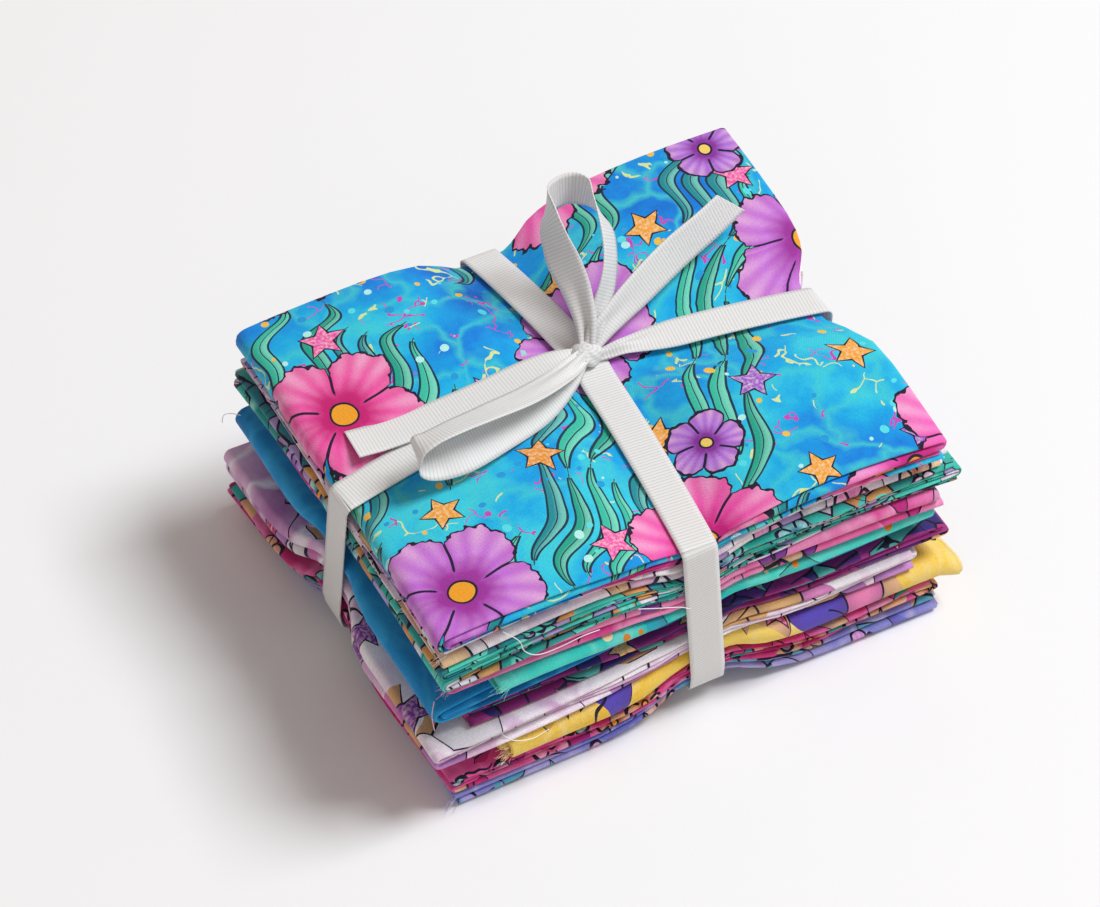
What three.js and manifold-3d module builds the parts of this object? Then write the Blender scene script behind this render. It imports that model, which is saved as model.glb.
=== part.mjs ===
// Bundle of eleven folded fat quarters tied both ways with one narrow ribbon.
// Millimetres, +Z up. X runs along the front edge, Y runs to the back, the origin is
// the centre of the footprint on the surface that the bundle rests on.

import * as THREE from 'three';
import { mergeVertices } from 'three/addons/utils/BufferGeometryUtils.js';
import Module from 'manifold-3d';

const wasm = await Module();
wasm.setup();

// Driving dimensions: a fat quarter is 457 x 559 mm and is folded in quarters both ways
const foldedLength = 559 / 4;
const foldedDepth = 457 / 4;
const halfLength = foldedLength / 2;
const halfDepth = foldedDepth / 2;
const pieceGap = 0.4;

// Upper corners of the stack above the surface it rests on
const cornerHeight = { frontLeft: 63.8, frontRight: 64.2, backLeft: 64.4, backRight: 66 };
const liftedCorner = 7.5;
const liftedCornerSharpness = 1.6;
const pillowRise = 3.2;

// The ribbon pinches a trough into the top and lifts the lower edges under it
const troughDepth = { front: 5, middle: 3.8, back: 6.5, side: 3.6 };
const bottomLift = { front: 6.5, back: 5, left: 8.5, right: 5, middle: 2 };

// Fold lines shared by all pieces: the trough floor lies between the two inner lines of each set
const linesX = [-halfLength, -31, -8.5, 9, 31, halfLength];
const linesY = [-halfDepth, -27, -9.5, 13, 30, halfDepth];
const innerLines = [2, 3];

// How far cloth may stand out where the ribbon holds it in
const ribbonLimit = { left: -71.6, right: 66.4, front: -58.2, back: 57.8 };

// One layer of the back-and-forth section, as a share of the folded piece's height
const passShare = 0.2;
const passPitch = (1 - passShare) / 3;

// Folded pieces from the top down. run: direction of the folded strip. plan: book has one closed
// fold round the others, zigzag has two side by side. lead: the side with those folds.
// left, right: X at the front and at the back. front, back: Y at the left and at the right.
// thick: height at front left, front right, back left, back right.
const pieces = [
  { name: 'fat_quarter_01_azure', color: 0x14a4e4, run: 'x', plan: 'book', lead: -1,
    left: [-72.5, -72], right: [69.5, 74], front: [-58.8, -59], back: [58, 60],
    thick: [5.6, 7.2, 6.2, 6.8] },
  { name: 'fat_quarter_02_pale', color: 0xd9cfe0, run: 'y', plan: 'zigzag', lead: -1,
    left: [-70.5, -71], right: [70, 74.5], front: [-57.5, -57.2], back: [57, 58],
    thick: [5.2, 5, 4.8, 6] },
  { name: 'fat_quarter_03_mint', color: 0x35a9a4, run: 'x', plan: 'zigzag', lead: -1,
    left: [-71.6, -73], right: [74.5, 73], front: [-58.6, -58.6], back: [58, 57.5],
    thick: [7.4, 5.4, 7, 6] },
  { name: 'fat_quarter_04_pink', color: 0xe0509f, run: 'y', plan: 'zigzag', lead: -1,
    left: [-69.5, -70], right: [68.5, 71], front: [-57, -60], back: [56.5, 57.5],
    thick: [4.8, 7.2, 4.8, 6] },
  { name: 'fat_quarter_05_turquoise', color: 0x17c3be, run: 'y', plan: 'book', lead: -1,
    left: [-55.5, -64], right: [69, 70], front: [-60, -58.5], back: [57, 56.5], thick: [5.4, 5, 4.8, 6] },
  { name: 'fat_quarter_06_blue', color: 0x0a86c8, run: 'x', plan: 'book', lead: -1,
    left: [-73.5, -74.5], right: [66, 70], front: [-55.5, -54.5], back: [58.5, 58],
    thick: [4.8, 4.8, 7.4, 6] },
  { name: 'fat_quarter_07_plum', color: 0x7d1f68, run: 'x', plan: 'zigzag', lead: 1,
    left: [-65, -69], right: [72.5, 71], front: [-55.5, -57.5], back: [57, 56], thick: [5, 4.8, 4.8, 6] },
  { name: 'fat_quarter_08_lilac', color: 0xd3bfd6, run: 'x', plan: 'zigzag', lead: -1,
    left: [-75.5, -77.6], right: [64, 76], front: [-59.6, -58.6], back: [59, 58],
    thick: [6.6, 6.4, 11.5, 6] },
  { name: 'fat_quarter_09_yellow', color: 0xeec35e, run: 'y', plan: 'book', lead: -1,
    left: [-56, -62], right: [77.6, 73], front: [-61, -60.2], back: [57.5, 57], thick: [7.4, 8.2, 5, 6] },
  { name: 'fat_quarter_10_magenta', color: 0xcf2d7c, run: 'x', plan: 'zigzag', lead: -1,
    left: [-70.5, -74], right: [71, 70.5], front: [-59, -58.6], back: [61, 58], thick: [5.6, 5.6, 5, 6] },
  { name: 'fat_quarter_11_periwinkle', color: 0x7c7fd0, run: 'y', plan: 'zigzag', lead: -1,
    left: [-69.5, -71], right: [70.5, 72], front: [-58.6, -60], back: [57.5, 58.5], thick: [5, 6, 5, 6] },
];

// Ribbon: one length of 3/8 inch grosgrain
const ribbonWidth = 9.7;
const ribbonThick = 1;
const ribbonGap = 0.3;
const ribbonColor = 0xedebe6;
const knotPlace = { x: 3.5, y: 8 };
const knotRadius = { x: 4.4, y: 3.8, z: 2.9 };
const knotRise = 2.4;

// Both bands bend at the knot. Sideways place of each band's middle line at the upper and lower
// edges of its low end, front or left, and of its high end, back or right.
const lengthwiseBand = { lowTop: -1.8, highTop: -1.9, lowBottom: 2.6, highBottom: 1 };
const crosswiseBand = { lowTop: -4, highTop: -2, lowBottom: 5.6, highBottom: 1 };

const lerp = (a, b, t) => a + (b - a) * t;

const bilinear = (frontLeft, frontRight, backLeft, backRight, s, t) =>
  lerp(lerp(frontLeft, frontRight, s), lerp(backLeft, backRight, s), t);

// Arch of height 1 between 0 and 1
const arch = (t) => 4 * t * (1 - t);

const betweenInner = (index) => innerLines.includes(index);

// Height of the top face at a crossing of two fold lines: a chord between the corners, one corner
// lifted, pillows between the ribbon's troughs
function topAtLines(i, j) {
  const s = (linesX[i] + halfLength) / foldedLength;
  const t = (linesY[j] + halfDepth) / foldedDepth;
  const c = cornerHeight;
  const chord = bilinear(c.frontLeft, c.frontRight, c.backLeft, c.backRight, s, t);
  const corner = liftedCorner * (s * t) ** liftedCornerSharpness;
  const archX = arch(Math.min(Math.abs(linesX[i]) / halfLength, 1));
  const archY = arch(Math.min(Math.abs(linesY[j]) / halfDepth, 1));
  const pillow = pillowRise * (archX + archY) / 2;
  const d = troughDepth;
  const along = t < 0.5 ? lerp(d.front, d.middle, t * 2) : lerp(d.middle, d.back, t * 2 - 1);
  const trough = Math.max(betweenInner(i) ? along : 0, betweenInner(j) ? d.side : 0);
  return chord + corner + pillow - trough;
}

// Height of the under side at a crossing: flat on the surface in the four quarters, lifted where
// the ribbon passes
function bottomAtLines(i, j) {
  const b = bottomLift;
  const outerY = linesY[j] < 0 ? b.front : b.back;
  const outerX = linesX[i] < 0 ? b.left : b.right;
  const underLength = betweenInner(j) ? b.middle : outerY;
  const underCross = betweenInner(i) ? b.middle : outerX;
  return Math.max(betweenInner(i) ? underLength : 0, betweenInner(j) ? underCross : 0);
}

const shareOfHeight = (level, i, j) => {
  const s = (linesX[i] + halfLength) / foldedLength;
  const t = (linesY[j] + halfDepth) / foldedDepth;
  const heights = pieces.map((p) => bilinear(...p.thick, s, t));
  const total = heights.reduce((sum, h) => sum + h, 0);
  return heights.slice(level).reduce((sum, h) => sum + h, 0) / total;
};

// Boundary under piece number level (0 is the top face of the stack), as heights at the crossings
const boundaries = Array.from({ length: pieces.length + 1 }, (_, level) =>
  linesX.map((_, i) => linesY.map((_, j) =>
    lerp(bottomAtLines(i, j), topAtLines(i, j), shareOfHeight(level, i, j)))));

const cellOf = (lines, value) => {
  const last = lines.length - 2;
  const found = lines.findIndex((_, n) => n <= last && value < lines[n + 1]);
  return found < 0 ? last : found;
};

// A boundary's height anywhere, straight between the fold lines and beyond the last ones
function heightAt(level, x, y) {
  const i = cellOf(linesX, x);
  const j = cellOf(linesY, y);
  const s = (x - linesX[i]) / (linesX[i + 1] - linesX[i]);
  const t = (y - linesY[j]) / (linesY[j + 1] - linesY[j]);
  const h = boundaries[level];
  return bilinear(h[i][j], h[i + 1][j], h[i][j + 1], h[i + 1][j + 1], s, t);
}

// Section of the folded strip. A point is { line, inset, level }: the fold line it lies on, how far
// in from that line, and its height from 0 to 1 between the piece's faces.
const loopSteps = 4;
const looseEnd = 0.8;
const hiddenEnd = 1.6;

// Folds: how far in the middle of the arc lies, and how far its two faces reach out from there
const plainFold = { center: 1.6, outside: 1.6, inside: 0.5 };
const aroundFold = { center: 3, outside: 3, inside: 1.8 };
const smallFold = { center: 4.4, outside: 1.5, inside: 0.4 };

function foldArc(side, centerInset, reach, low, high) {
  const mid = (low + high) / 2;
  const half = (high - low) / 2;
  const line = side > 0 ? 'last' : 'first';
  const points = [];
  for (let n = 0; n <= loopSteps; n += 1) {
    const angle = Math.PI * (n / loopSteps - 0.5);
    const inset = centerInset - reach * Math.cos(angle);
    points.push({ line, inset, level: mid + half * Math.sin(angle) });
  }
  return points;
}

function passPoints(from, level) {
  const inner = [1, 2, 3, 4].map((line) => ({ line, inset: 0, level }));
  return from < 0 ? inner : inner.reverse();
}

const levelLow = (n) => n * passPitch;
const levelHigh = (n) => n * passPitch + passShare;

const endPoints = (side, level, inset) => ({ line: side > 0 ? 'last' : 'first', inset, level });

// Zigzag: two closed folds on the lead side and one on the other. Both faces of the cloth are
// listed from the lower loose end to the upper one, point against point.
function zigzagSection(lead) {
  const { center, outside, inside } = plainFold;
  const fold = (side, n) => ({
    outside: foldArc(side, center, outside, levelLow(n), levelHigh(n + 1)),
    inside: foldArc(side, center, inside, levelHigh(n), levelLow(n + 1)),
  });
  const first = fold(lead, 0);
  const second = fold(-lead, 1);
  const third = fold(lead, 2);
  const right = [
    endPoints(-lead, levelLow(0), looseEnd), ...passPoints(-lead, levelLow(0)), ...first.outside,
    ...passPoints(lead, levelHigh(1)), ...second.inside, ...passPoints(-lead, levelLow(2)),
    ...third.outside, ...passPoints(lead, levelHigh(3)), endPoints(-lead, levelHigh(3), looseEnd),
  ];
  const left = [
    endPoints(-lead, levelHigh(0), looseEnd), ...passPoints(-lead, levelHigh(0)), ...first.inside,
    ...passPoints(lead, levelLow(1)), ...second.outside, ...passPoints(-lead, levelHigh(2)),
    ...third.inside, ...passPoints(lead, levelLow(3)), endPoints(-lead, levelLow(3), looseEnd),
  ];
  return { right, left };
}

// Book fold: one closed fold on the lead side goes round a smaller one, and the other side has a
// fold above the two loose ends
function bookSection(lead) {
  const outer = aroundFold;
  const plain = plainFold;
  const inner = smallFold;
  const around = foldArc(lead, outer.center, outer.outside, 0, 1);
  const aroundInside = foldArc(lead, outer.center, outer.inside, levelHigh(0), levelLow(3));
  const back = foldArc(-lead, plain.center, plain.outside, levelLow(2), levelHigh(3));
  const backInside = foldArc(-lead, plain.center, plain.inside, levelHigh(2), levelLow(3));
  const small = foldArc(lead, inner.center, inner.outside, levelLow(1), levelHigh(2));
  const smallInside = foldArc(lead, inner.center, inner.inside, levelHigh(1), levelLow(2));
  const right = [
    endPoints(-lead, levelLow(0), looseEnd), ...passPoints(-lead, levelLow(0)), ...around,
    ...passPoints(lead, levelHigh(3)), ...back.reverse(), ...passPoints(-lead, levelLow(2)),
    ...smallInside.reverse(), ...passPoints(lead, levelHigh(1)),
    endPoints(-lead, levelHigh(1), hiddenEnd),
  ];
  const left = [
    endPoints(-lead, levelHigh(0), looseEnd), ...passPoints(-lead, levelHigh(0)), ...aroundInside,
    ...passPoints(lead, levelLow(3)), ...backInside.reverse(), ...passPoints(-lead, levelHigh(2)),
    ...small.reverse(), ...passPoints(lead, levelLow(1)), endPoints(-lead, levelLow(1), hiddenEnd),
  ];
  return { right, left };
}

const lineNumber = (line) => ({ first: 0, last: linesX.length - 1 })[line] ?? line;

// Where an edge of a piece lies, drawn in where the ribbon holds it
function edgeAt(ends, share, held, limit) {
  const free = lerp(ends[0], ends[1], share);
  if (!held) {
    return free;
  }
  return limit < 0 ? Math.max(free, limit) : Math.min(free, limit);
}

// Place of the crossing of X line i and Y line j in one piece
function crossing(piece, i, j) {
  const s = (linesX[i] + halfLength) / foldedLength;
  const t = (linesY[j] + halfDepth) / foldedDepth;
  const last = linesX.length - 1;
  let x = linesX[i];
  let y = linesY[j];
  if (i === 0) x = edgeAt(piece.left, t, betweenInner(j), ribbonLimit.left);
  if (i === last) x = edgeAt(piece.right, t, betweenInner(j), ribbonLimit.right);
  if (j === 0) y = edgeAt(piece.front, s, betweenInner(i), ribbonLimit.front);
  if (j === last) y = edgeAt(piece.back, s, betweenInner(i), ribbonLimit.back);
  return { x, y };
}

function closedGeometry(positions, triangles) {
  const geometry = new THREE.BufferGeometry();
  geometry.setAttribute('position', new THREE.Float32BufferAttribute(positions.flat(), 3));
  let volume = 0;
  for (const [a, b, c] of triangles) {
    const p = positions[a];
    const q = positions[b];
    const r = positions[c];
    volume += p[0] * (q[1] * r[2] - q[2] * r[1]) + p[1] * (q[2] * r[0] - q[0] * r[2])
      + p[2] * (q[0] * r[1] - q[1] * r[0]);
  }
  const facing = volume > 0 ? triangles : triangles.map(([a, b, c]) => [a, c, b]);
  geometry.setIndex(facing.flat());
  return geometry;
}

// One folded piece: its section carried across the strip from fold line to fold line
function foldedPiece(piece, level) {
  const { right, left } = (piece.plan === 'book' ? bookSection : zigzagSection)(piece.lead);
  const section = [...right, ...left.reverse()];
  const alongX = piece.run === 'x';
  const stations = linesX.length;
  const positions = [];
  for (let station = 0; station < stations; station += 1) {
    for (const point of section) {
      const line = lineNumber(point.line);
      const place = alongX ? crossing(piece, line, station) : crossing(piece, station, line);
      const inward = line === 0 ? point.inset : -point.inset;
      const x = place.x + (alongX ? inward : 0);
      const y = place.y + (alongX ? 0 : inward);
      const low = heightAt(level + 1, x, y) + (level === pieces.length - 1 ? 0 : pieceGap / 2);
      const high = heightAt(level, x, y) - pieceGap / 2;
      positions.push([x, y, lerp(low, high, point.level)]);
    }
  }
  const count = section.length;
  const triangles = [];
  for (let station = 0; station + 1 < stations; station += 1) {
    for (let n = 0; n < count; n += 1) {
      const next = (n + 1) % count;
      const a = station * count + n;
      const b = station * count + next;
      const c = b + count;
      const d = a + count;
      const rising = (positions[c][0] - positions[a][0]) * (positions[c][1] - positions[a][1]) > 0;
      if (rising) {
        triangles.push([a, b, c], [a, c, d]);
      } else {
        triangles.push([a, b, d], [b, c, d]);
      }
    }
  }
  const end = (stations - 1) * count;
  for (let n = 0; n + 1 < right.length; n += 1) {
    const m = count - 1 - n;
    triangles.push([n, m, n + 1], [n + 1, m, m - 1]);
    triangles.push([end + n, end + n + 1, end + m], [end + n + 1, end + m - 1, end + m]);
  }
  return closedGeometry(positions, triangles);
}

// Flat band carried along points; each point has its place, the direction of the band's width and
// how much of the width shows where it is gathered
function bandGeometry(points, closed = false) {
  const count = points.length;
  const positions = [];
  points.forEach((point, n) => {
    const before = points[closed ? (n + count - 1) % count : Math.max(n - 1, 0)].place;
    const after = points[closed ? (n + 1) % count : Math.min(n + 1, count - 1)].place;
    const tangent = after.clone().sub(before).normalize();
    const across = point.across.clone().addScaledVector(tangent, -point.across.dot(tangent)).normalize();
    const normal = tangent.clone().cross(across).normalize();
    const half = ribbonWidth / 2 * (point.share ?? 1);
    for (const [w, h] of [[-1, -1], [1, -1], [1, 1], [-1, 1]]) {
      const corner = point.place.clone().addScaledVector(across, w * half);
      corner.addScaledVector(normal, h * ribbonThick / 2);
      positions.push(corner.toArray());
    }
  });
  const triangles = [];
  const spans = closed ? count : count - 1;
  for (let n = 0; n < spans; n += 1) {
    const here = n * 4;
    const there = ((n + 1) % count) * 4;
    for (let side = 0; side < 4; side += 1) {
      const next = (side + 1) % 4;
      triangles.push([here + side, here + next, there + next]);
      triangles.push([here + side, there + next, there + side]);
    }
  }
  if (!closed) {
    const end = (count - 1) * 4;
    triangles.push([0, 2, 1], [0, 3, 2], [end, end + 1, end + 2], [end, end + 2, end + 3]);
  }
  return closedGeometry(positions, triangles);
}

const vec = (x, y, z) => new THREE.Vector3(x, y, z);

const topUnder = (x, y) => heightAt(0, x, y);
const bottomUnder = (x, y) => heightAt(pieces.length, x, y);

// The band's middle plane keeps this distance from the cloth
const standOff = ribbonGap + ribbonThick / 2;

// The middle of a turn of that radius round an edge of the stack
const cornerHalf = standOff * Math.SQRT1_2;
const cornerDrop = standOff - cornerHalf;

// Height of the band over or under the trough, level across its width
function bandTop(alongY, v) {
  const ends = alongY ? [linesX[2], linesX[3]] : [linesY[2], linesY[3]];
  const heights = ends.map((e) => (alongY ? topUnder(e, v) : topUnder(v, e)));
  return Math.max(...heights) - pieceGap / 2 + standOff;
}

function bandBottom(alongY, v) {
  const ends = alongY ? [linesX[2], linesX[3]] : [linesY[2], linesY[3]];
  const heights = ends.map((e) => (alongY ? bottomUnder(e, v) : bottomUnder(v, e)));
  return Math.min(...heights) - standOff;
}

// Closed band round the stack. middle gives the sideways place at the two upper edges, the two lower
// edges and the knot; low and high are the cloth's limits along the band.
function wrapPoints(alongY, low, high, middle, knot) {
  const lines = alongY ? linesY : linesX;
  const inner = lines.slice(1, -1);
  const knotAlong = alongY ? knotPlace.y : knotPlace.x;
  const path = [];
  const add = (v, z, sideways) => path.push({
    place: alongY ? vec(sideways, v, z) : vec(v, sideways, z),
    across: alongY ? vec(1, 0, 0) : vec(0, 1, 0),
  });
  const overTop = (v) => (v < knotAlong
    ? lerp(middle.lowTop, knot, (v - low) / (knotAlong - low))
    : lerp(knot, middle.highTop, (v - knotAlong) / (high - knotAlong)));
  const topLow = bandTop(alongY, low);
  const topHigh = bandTop(alongY, high);
  const bottomLow = bandBottom(alongY, low);
  const bottomHigh = bandBottom(alongY, high);
  add(low, topLow, middle.lowTop);
  for (const v of [...inner, knotAlong].sort((a, b) => a - b)) {
    add(v, bandTop(alongY, v), overTop(v));
  }
  add(high, topHigh, middle.highTop);
  add(high + cornerHalf, topHigh - cornerDrop, middle.highTop);
  add(high + standOff, topHigh - standOff, middle.highTop);
  add(high + standOff, bottomHigh + standOff, middle.highBottom);
  add(high + cornerHalf, bottomHigh + cornerDrop, middle.highBottom);
  add(high, bottomHigh, middle.highBottom);
  for (const v of inner.slice().reverse()) {
    add(v, bandBottom(alongY, v), lerp(middle.lowBottom, middle.highBottom, (v - low) / (high - low)));
  }
  add(low, bottomLow, middle.lowBottom);
  add(low - cornerHalf, bottomLow + cornerDrop, middle.lowBottom);
  add(low - standOff, bottomLow + standOff, middle.lowBottom);
  add(low - standOff, topLow - standOff, middle.lowTop);
  add(low - cornerHalf, topLow - cornerDrop, middle.lowTop);
  return path;
}

// Bow: places and width directions in a frame that leans back with the bow. side is level,
// rise leans back by 44 degrees, near is square to both and looks up to the front left.
const bowTurn = THREE.MathUtils.degToRad(-28.2);
const bowLean = THREE.MathUtils.degToRad(46);
const sideAxis = vec(Math.cos(bowTurn), Math.sin(bowTurn), 0);
const nearAxis = vec(
  Math.sin(bowTurn) * Math.cos(bowLean), -Math.cos(bowTurn) * Math.cos(bowLean), Math.sin(bowLean));
const riseAxis = nearAxis.clone().cross(sideAxis);

const bowVector = (side, rise, near) => vec(0, 0, 0)
  .addScaledVector(sideAxis, side).addScaledVector(riseAxis, rise).addScaledVector(nearAxis, near);

// Rows: side, rise, near of the middle line, then side, rise, near of the width direction, then the
// share of the width that is spread out
const standingLoop = [
  [0, 1, 0, 1, 0, 0.3, 0.5],
  [-0.6, 8.8, 1.5, 0.95, 0.1, 0.3, 0.72],
  [-2.8, 16.8, 3, 0.96, 0, 0.2, 0.92],
  [-5.9, 23, 4, 0.97, 0.12, 0, 1],
  [-9, 29, 4.2, 0.95, 0.3, -0.05, 1],
  [-11.6, 34.6, 3.4, 0.8, 0.55, 0.3, 1],
  [-11.6, 40.2, 0.2, 0.35, 0.85, 0.4, 1],
  [-8.6, 42.6, -2.6, 0, 1, 0.1, 1],
  [-3.8, 43.2, -3.6, -0.1, 1, 0, 1],
  [0.6, 41.6, -3, -0.2, 0.9, 0.3, 1],
  [3.6, 38, -1.4, -0.3, 0.55, 0.8, 1],
  [5.6, 32.6, 0, -0.3, 0.15, 0.95, 1],
  [6.4, 26, 0.4, -0.3, 0, 0.95, 1],
  [5.8, 19, 0.3, -0.45, 0, 0.9, 0.95],
  [3.8, 11.5, 0, -0.7, 0, 0.7, 0.75],
  [1.2, 2, -0.4, -0.9, 0, 0.4, 0.5],
];
const standingLoopTop = 8;

const lyingLoop = [
  [-1, -1, 1, -0.5, 0.8, 0, 0.5],
  [-5.6, -7, 7.4, -0.54, 0.84, 0, 0.8],
  [-12.5, -13.6, 15.4, -0.54, 0.84, 0, 1],
  [-21.8, -20, 25.4, -0.54, 0.84, 0, 1],
  [-30.2, -25, 32.4, -0.5, 0.86, 0, 1],
  [-36.8, -27, 35.4, -0.4, 0.9, -0.1, 1],
  [-41, -26.6, 37.6, -0.3, 0.85, -0.45, 1],
  [-41.4, -23.8, 39.4, -0.25, 0.6, -0.75, 1],
  [-38.4, -21.6, 39.4, -0.2, 0.4, -0.9, 1],
  [-32.4, -18.6, 37, -0.2, 0.35, -0.9, 1],
  [-24.2, -15, 31.4, -0.2, 0.35, -0.9, 1],
  [-14.7, -10.6, 21.6, -0.2, 0.4, -0.85, 0.95],
  [-6.4, -5.4, 11, -0.2, 0.5, -0.8, 0.75],
  [-1, -0.6, 2.4, -0.3, 0.7, -0.6, 0.5],
];
const lyingLoopTip = 7;

const risingTail = [
  [0.5, 1.5, -0.4, 0.8, -0.5, -0.3, 0.5],
  [5.4, 8, -1.6, 0.75, -0.5, -0.45, 0.72],
  [13.4, 16.8, -5, 0.74, -0.42, -0.56, 0.92],
  [22.4, 26, -9.4, 0.74, -0.32, -0.6, 1],
  [30.4, 33.6, -13, 0.74, -0.28, -0.61, 1],
  [36.6, 39.6, -15.8, 0.74, -0.26, -0.62, 1],
];

// The left tail lies on the cloth: its rows are X, Y and height over the top face, from the knot
const lyingTail = [
  { dx: 0, dy: 0.6, rise: 2.4, share: 0.5 },
  { dx: -7, dy: 0.6, rise: 3.4, share: 0.8 },
  { dx: -16, dy: 0.4, rise: 2.8, share: 1 },
  { dx: -30, dy: -0.2, rise: 2.4, share: 1 },
  { dx: -46, dy: -0.4, rise: 2.2, share: 1 },
  { dx: -60, dy: -0.2, rise: 2.4, share: 1 },
  { dx: -69.5, dy: 0.2, rise: 3, share: 1 },
];

const knotTop = bandTop(true, knotPlace.y);
const knotCenter = vec(knotPlace.x, knotPlace.y, knotTop + knotRise);

const bowPoints = (rows) => rows.map(([side, rise, near, wSide, wRise, wNear, share]) => ({
  place: bowVector(side, rise, near).add(knotCenter),
  across: bowVector(wSide, wRise, wNear).normalize(),
  share,
}));

function tailPoints() {
  return lyingTail.map(({ dx, dy, rise, share }) => {
    const x = knotPlace.x + dx;
    const y = knotPlace.y + dy;
    return { place: vec(x, y, bandTop(false, x) + rise), across: vec(0, 1, 0), share };
  });
}

function knotGeometry() {
  const geometry = new THREE.SphereGeometry(1, 12, 8);
  geometry.scale(knotRadius.x, knotRadius.y, knotRadius.z);
  geometry.rotateZ(bowTurn);
  geometry.translate(knotCenter.x, knotCenter.y, knotCenter.z);
  return geometry;
}

function toSolid(geometry) {
  const bare = geometry.clone();
  bare.deleteAttribute('normal');
  bare.deleteAttribute('uv');
  const merged = mergeVertices(bare, 1e-4);
  return new wasm.Manifold(new wasm.Mesh({
    numProp: 3,
    vertProperties: new Float32Array(merged.attributes.position.array),
    triVerts: new Uint32Array(merged.index.array),
  }));
}

function fromSolid(solid) {
  const mesh = solid.getMesh();
  const geometry = new THREE.BufferGeometry();
  geometry.setAttribute('position', new THREE.Float32BufferAttribute(mesh.vertProperties, mesh.numProp));
  geometry.setIndex(Array.from(mesh.triVerts));
  return geometry;
}

// The whole ribbon is one piece: both bands, the knot, two loops and two free ends
function ribbonTie() {
  const standing = bowPoints(standingLoop);
  const lying = bowPoints(lyingLoop);
  const strips = [
    bandGeometry(wrapPoints(true, ribbonLimit.front, ribbonLimit.back, lengthwiseBand, knotPlace.x), true),
    bandGeometry(wrapPoints(false, ribbonLimit.left, ribbonLimit.right, crosswiseBand, knotPlace.y), true),
    bandGeometry(standing.slice(0, standingLoopTop + 1)),
    bandGeometry(standing.slice(standingLoopTop - 1)),
    bandGeometry(lying.slice(0, lyingLoopTip + 1)),
    bandGeometry(lying.slice(lyingLoopTip - 1)),
    bandGeometry(bowPoints(risingTail)),
    bandGeometry(tailPoints()),
    knotGeometry(),
  ];
  return fromSolid(strips.map(toSolid).reduce((sum, solid) => sum.add(solid)));
}

const clothRoughness = 0.85;
const ribbonRoughness = 0.6;

const bundle = new THREE.Group();

pieces.forEach((piece, level) => {
  const material = new THREE.MeshStandardMaterial({
    color: piece.color, roughness: clothRoughness, metalness: 0,
  });
  const mesh = new THREE.Mesh(foldedPiece(piece, level), material);
  mesh.name = piece.name;
  bundle.add(mesh);
});

const ribbonMaterial = new THREE.MeshStandardMaterial({
  color: ribbonColor, roughness: ribbonRoughness, metalness: 0,
});
const ribbon = new THREE.Mesh(ribbonTie(), ribbonMaterial);
ribbon.name = 'ribbon_tie';
bundle.add(ribbon);

export default bundle;
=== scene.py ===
import math
from functools import partial

import bpy
import numpy as np
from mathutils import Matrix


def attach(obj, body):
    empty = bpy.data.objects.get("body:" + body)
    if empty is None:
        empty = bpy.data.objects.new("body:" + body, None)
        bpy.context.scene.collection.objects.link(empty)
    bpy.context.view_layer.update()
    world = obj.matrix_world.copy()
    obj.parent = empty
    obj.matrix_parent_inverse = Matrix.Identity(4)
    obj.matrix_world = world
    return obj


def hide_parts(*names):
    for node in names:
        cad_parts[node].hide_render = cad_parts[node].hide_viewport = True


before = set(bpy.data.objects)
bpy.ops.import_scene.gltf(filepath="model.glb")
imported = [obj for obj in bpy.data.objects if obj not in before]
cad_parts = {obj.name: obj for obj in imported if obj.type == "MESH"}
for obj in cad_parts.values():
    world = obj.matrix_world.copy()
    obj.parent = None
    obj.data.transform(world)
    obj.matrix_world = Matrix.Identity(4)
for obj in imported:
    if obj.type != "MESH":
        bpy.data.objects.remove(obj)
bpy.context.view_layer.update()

MM = 0.001

# A fat quarter is 457 x 559 mm, folded in quarters both ways
FLAT_LENGTH = 559
FLAT_DEPTH = 457
FOLDED_LENGTH = FLAT_LENGTH / 4
FOLDED_DEPTH = FLAT_DEPTH / 4
HALF_LENGTH = FOLDED_LENGTH / 2
HALF_DEPTH = FOLDED_DEPTH / 2
PIECE_GAP = 0.4
CLOTH_THICK = 0.2

# Stack: corner heights, how far its top swells, and how deep the ribbon pinches it
CORNER_HEIGHT = (63.8, 64.2, 64.4, 66)
LIFTED_CORNER = 7.5
LIFTED_CORNER_SHARPNESS = 1.6
PILLOW_RISE = 3.2
TROUGH_DEPTH = {"front": 5, "middle": 3.8, "back": 6.5, "side": 3.6}
BOTTOM_LIFT = {"front": 6.5, "back": 5, "left": 8.5, "right": 5, "middle": 2}
# The underside's lift changes from the middle's to the edges' between these distances from the centre
LIFT_GROWS_Y = (6, 40)
LIFT_GROWS_X = (6, 45)
LIFT_TIGHT = 0.3
# Waves in the faces between two pieces, and in the top face, which is smoother
FACE_WAVE = 0.55
TOP_WAVE = 0.2
FACE_WAVELENGTH = 70

# Edges of the pieces: where the band holds them, up to which distance from its middle line it does,
# and how far it pulls in the top and bottom edges beyond the rest
RIBBON_LIMIT = {"left": -71.6, "right": 66.4, "front": -58.2, "back": 57.8}
HOLD_NEAR = 6.5
HOLD_WIDE = 26
EDGE_DRAWN_IN = 1.6

# Middle lines of the two bands: X from front to back and Y from left to right, over the top through the
# knot, and underneath
KNOT = (3.5, 8)
LENGTHWISE_TOP = (-1.8, KNOT[0], -1.9)
LENGTHWISE_LOW = (2.6, 1)
CROSSWISE_TOP = (-4, KNOT[1], -2)
CROSSWISE_LOW = (5.6, 1)

# One folded strip: four layers of cloth, laid in four passes
LAYERS = 4
LAYER_PITCH = 0.36
PASS_PITCH = 1.5
FOLDED_HEIGHT = 4 * PASS_PITCH
STRIP_HALF = (LAYERS - 1) / 2 * LAYER_PITCH
ROUTES = {"zigzag": (0, 1, 2, 3), "book": (0, 3, 2, 1)}
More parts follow.
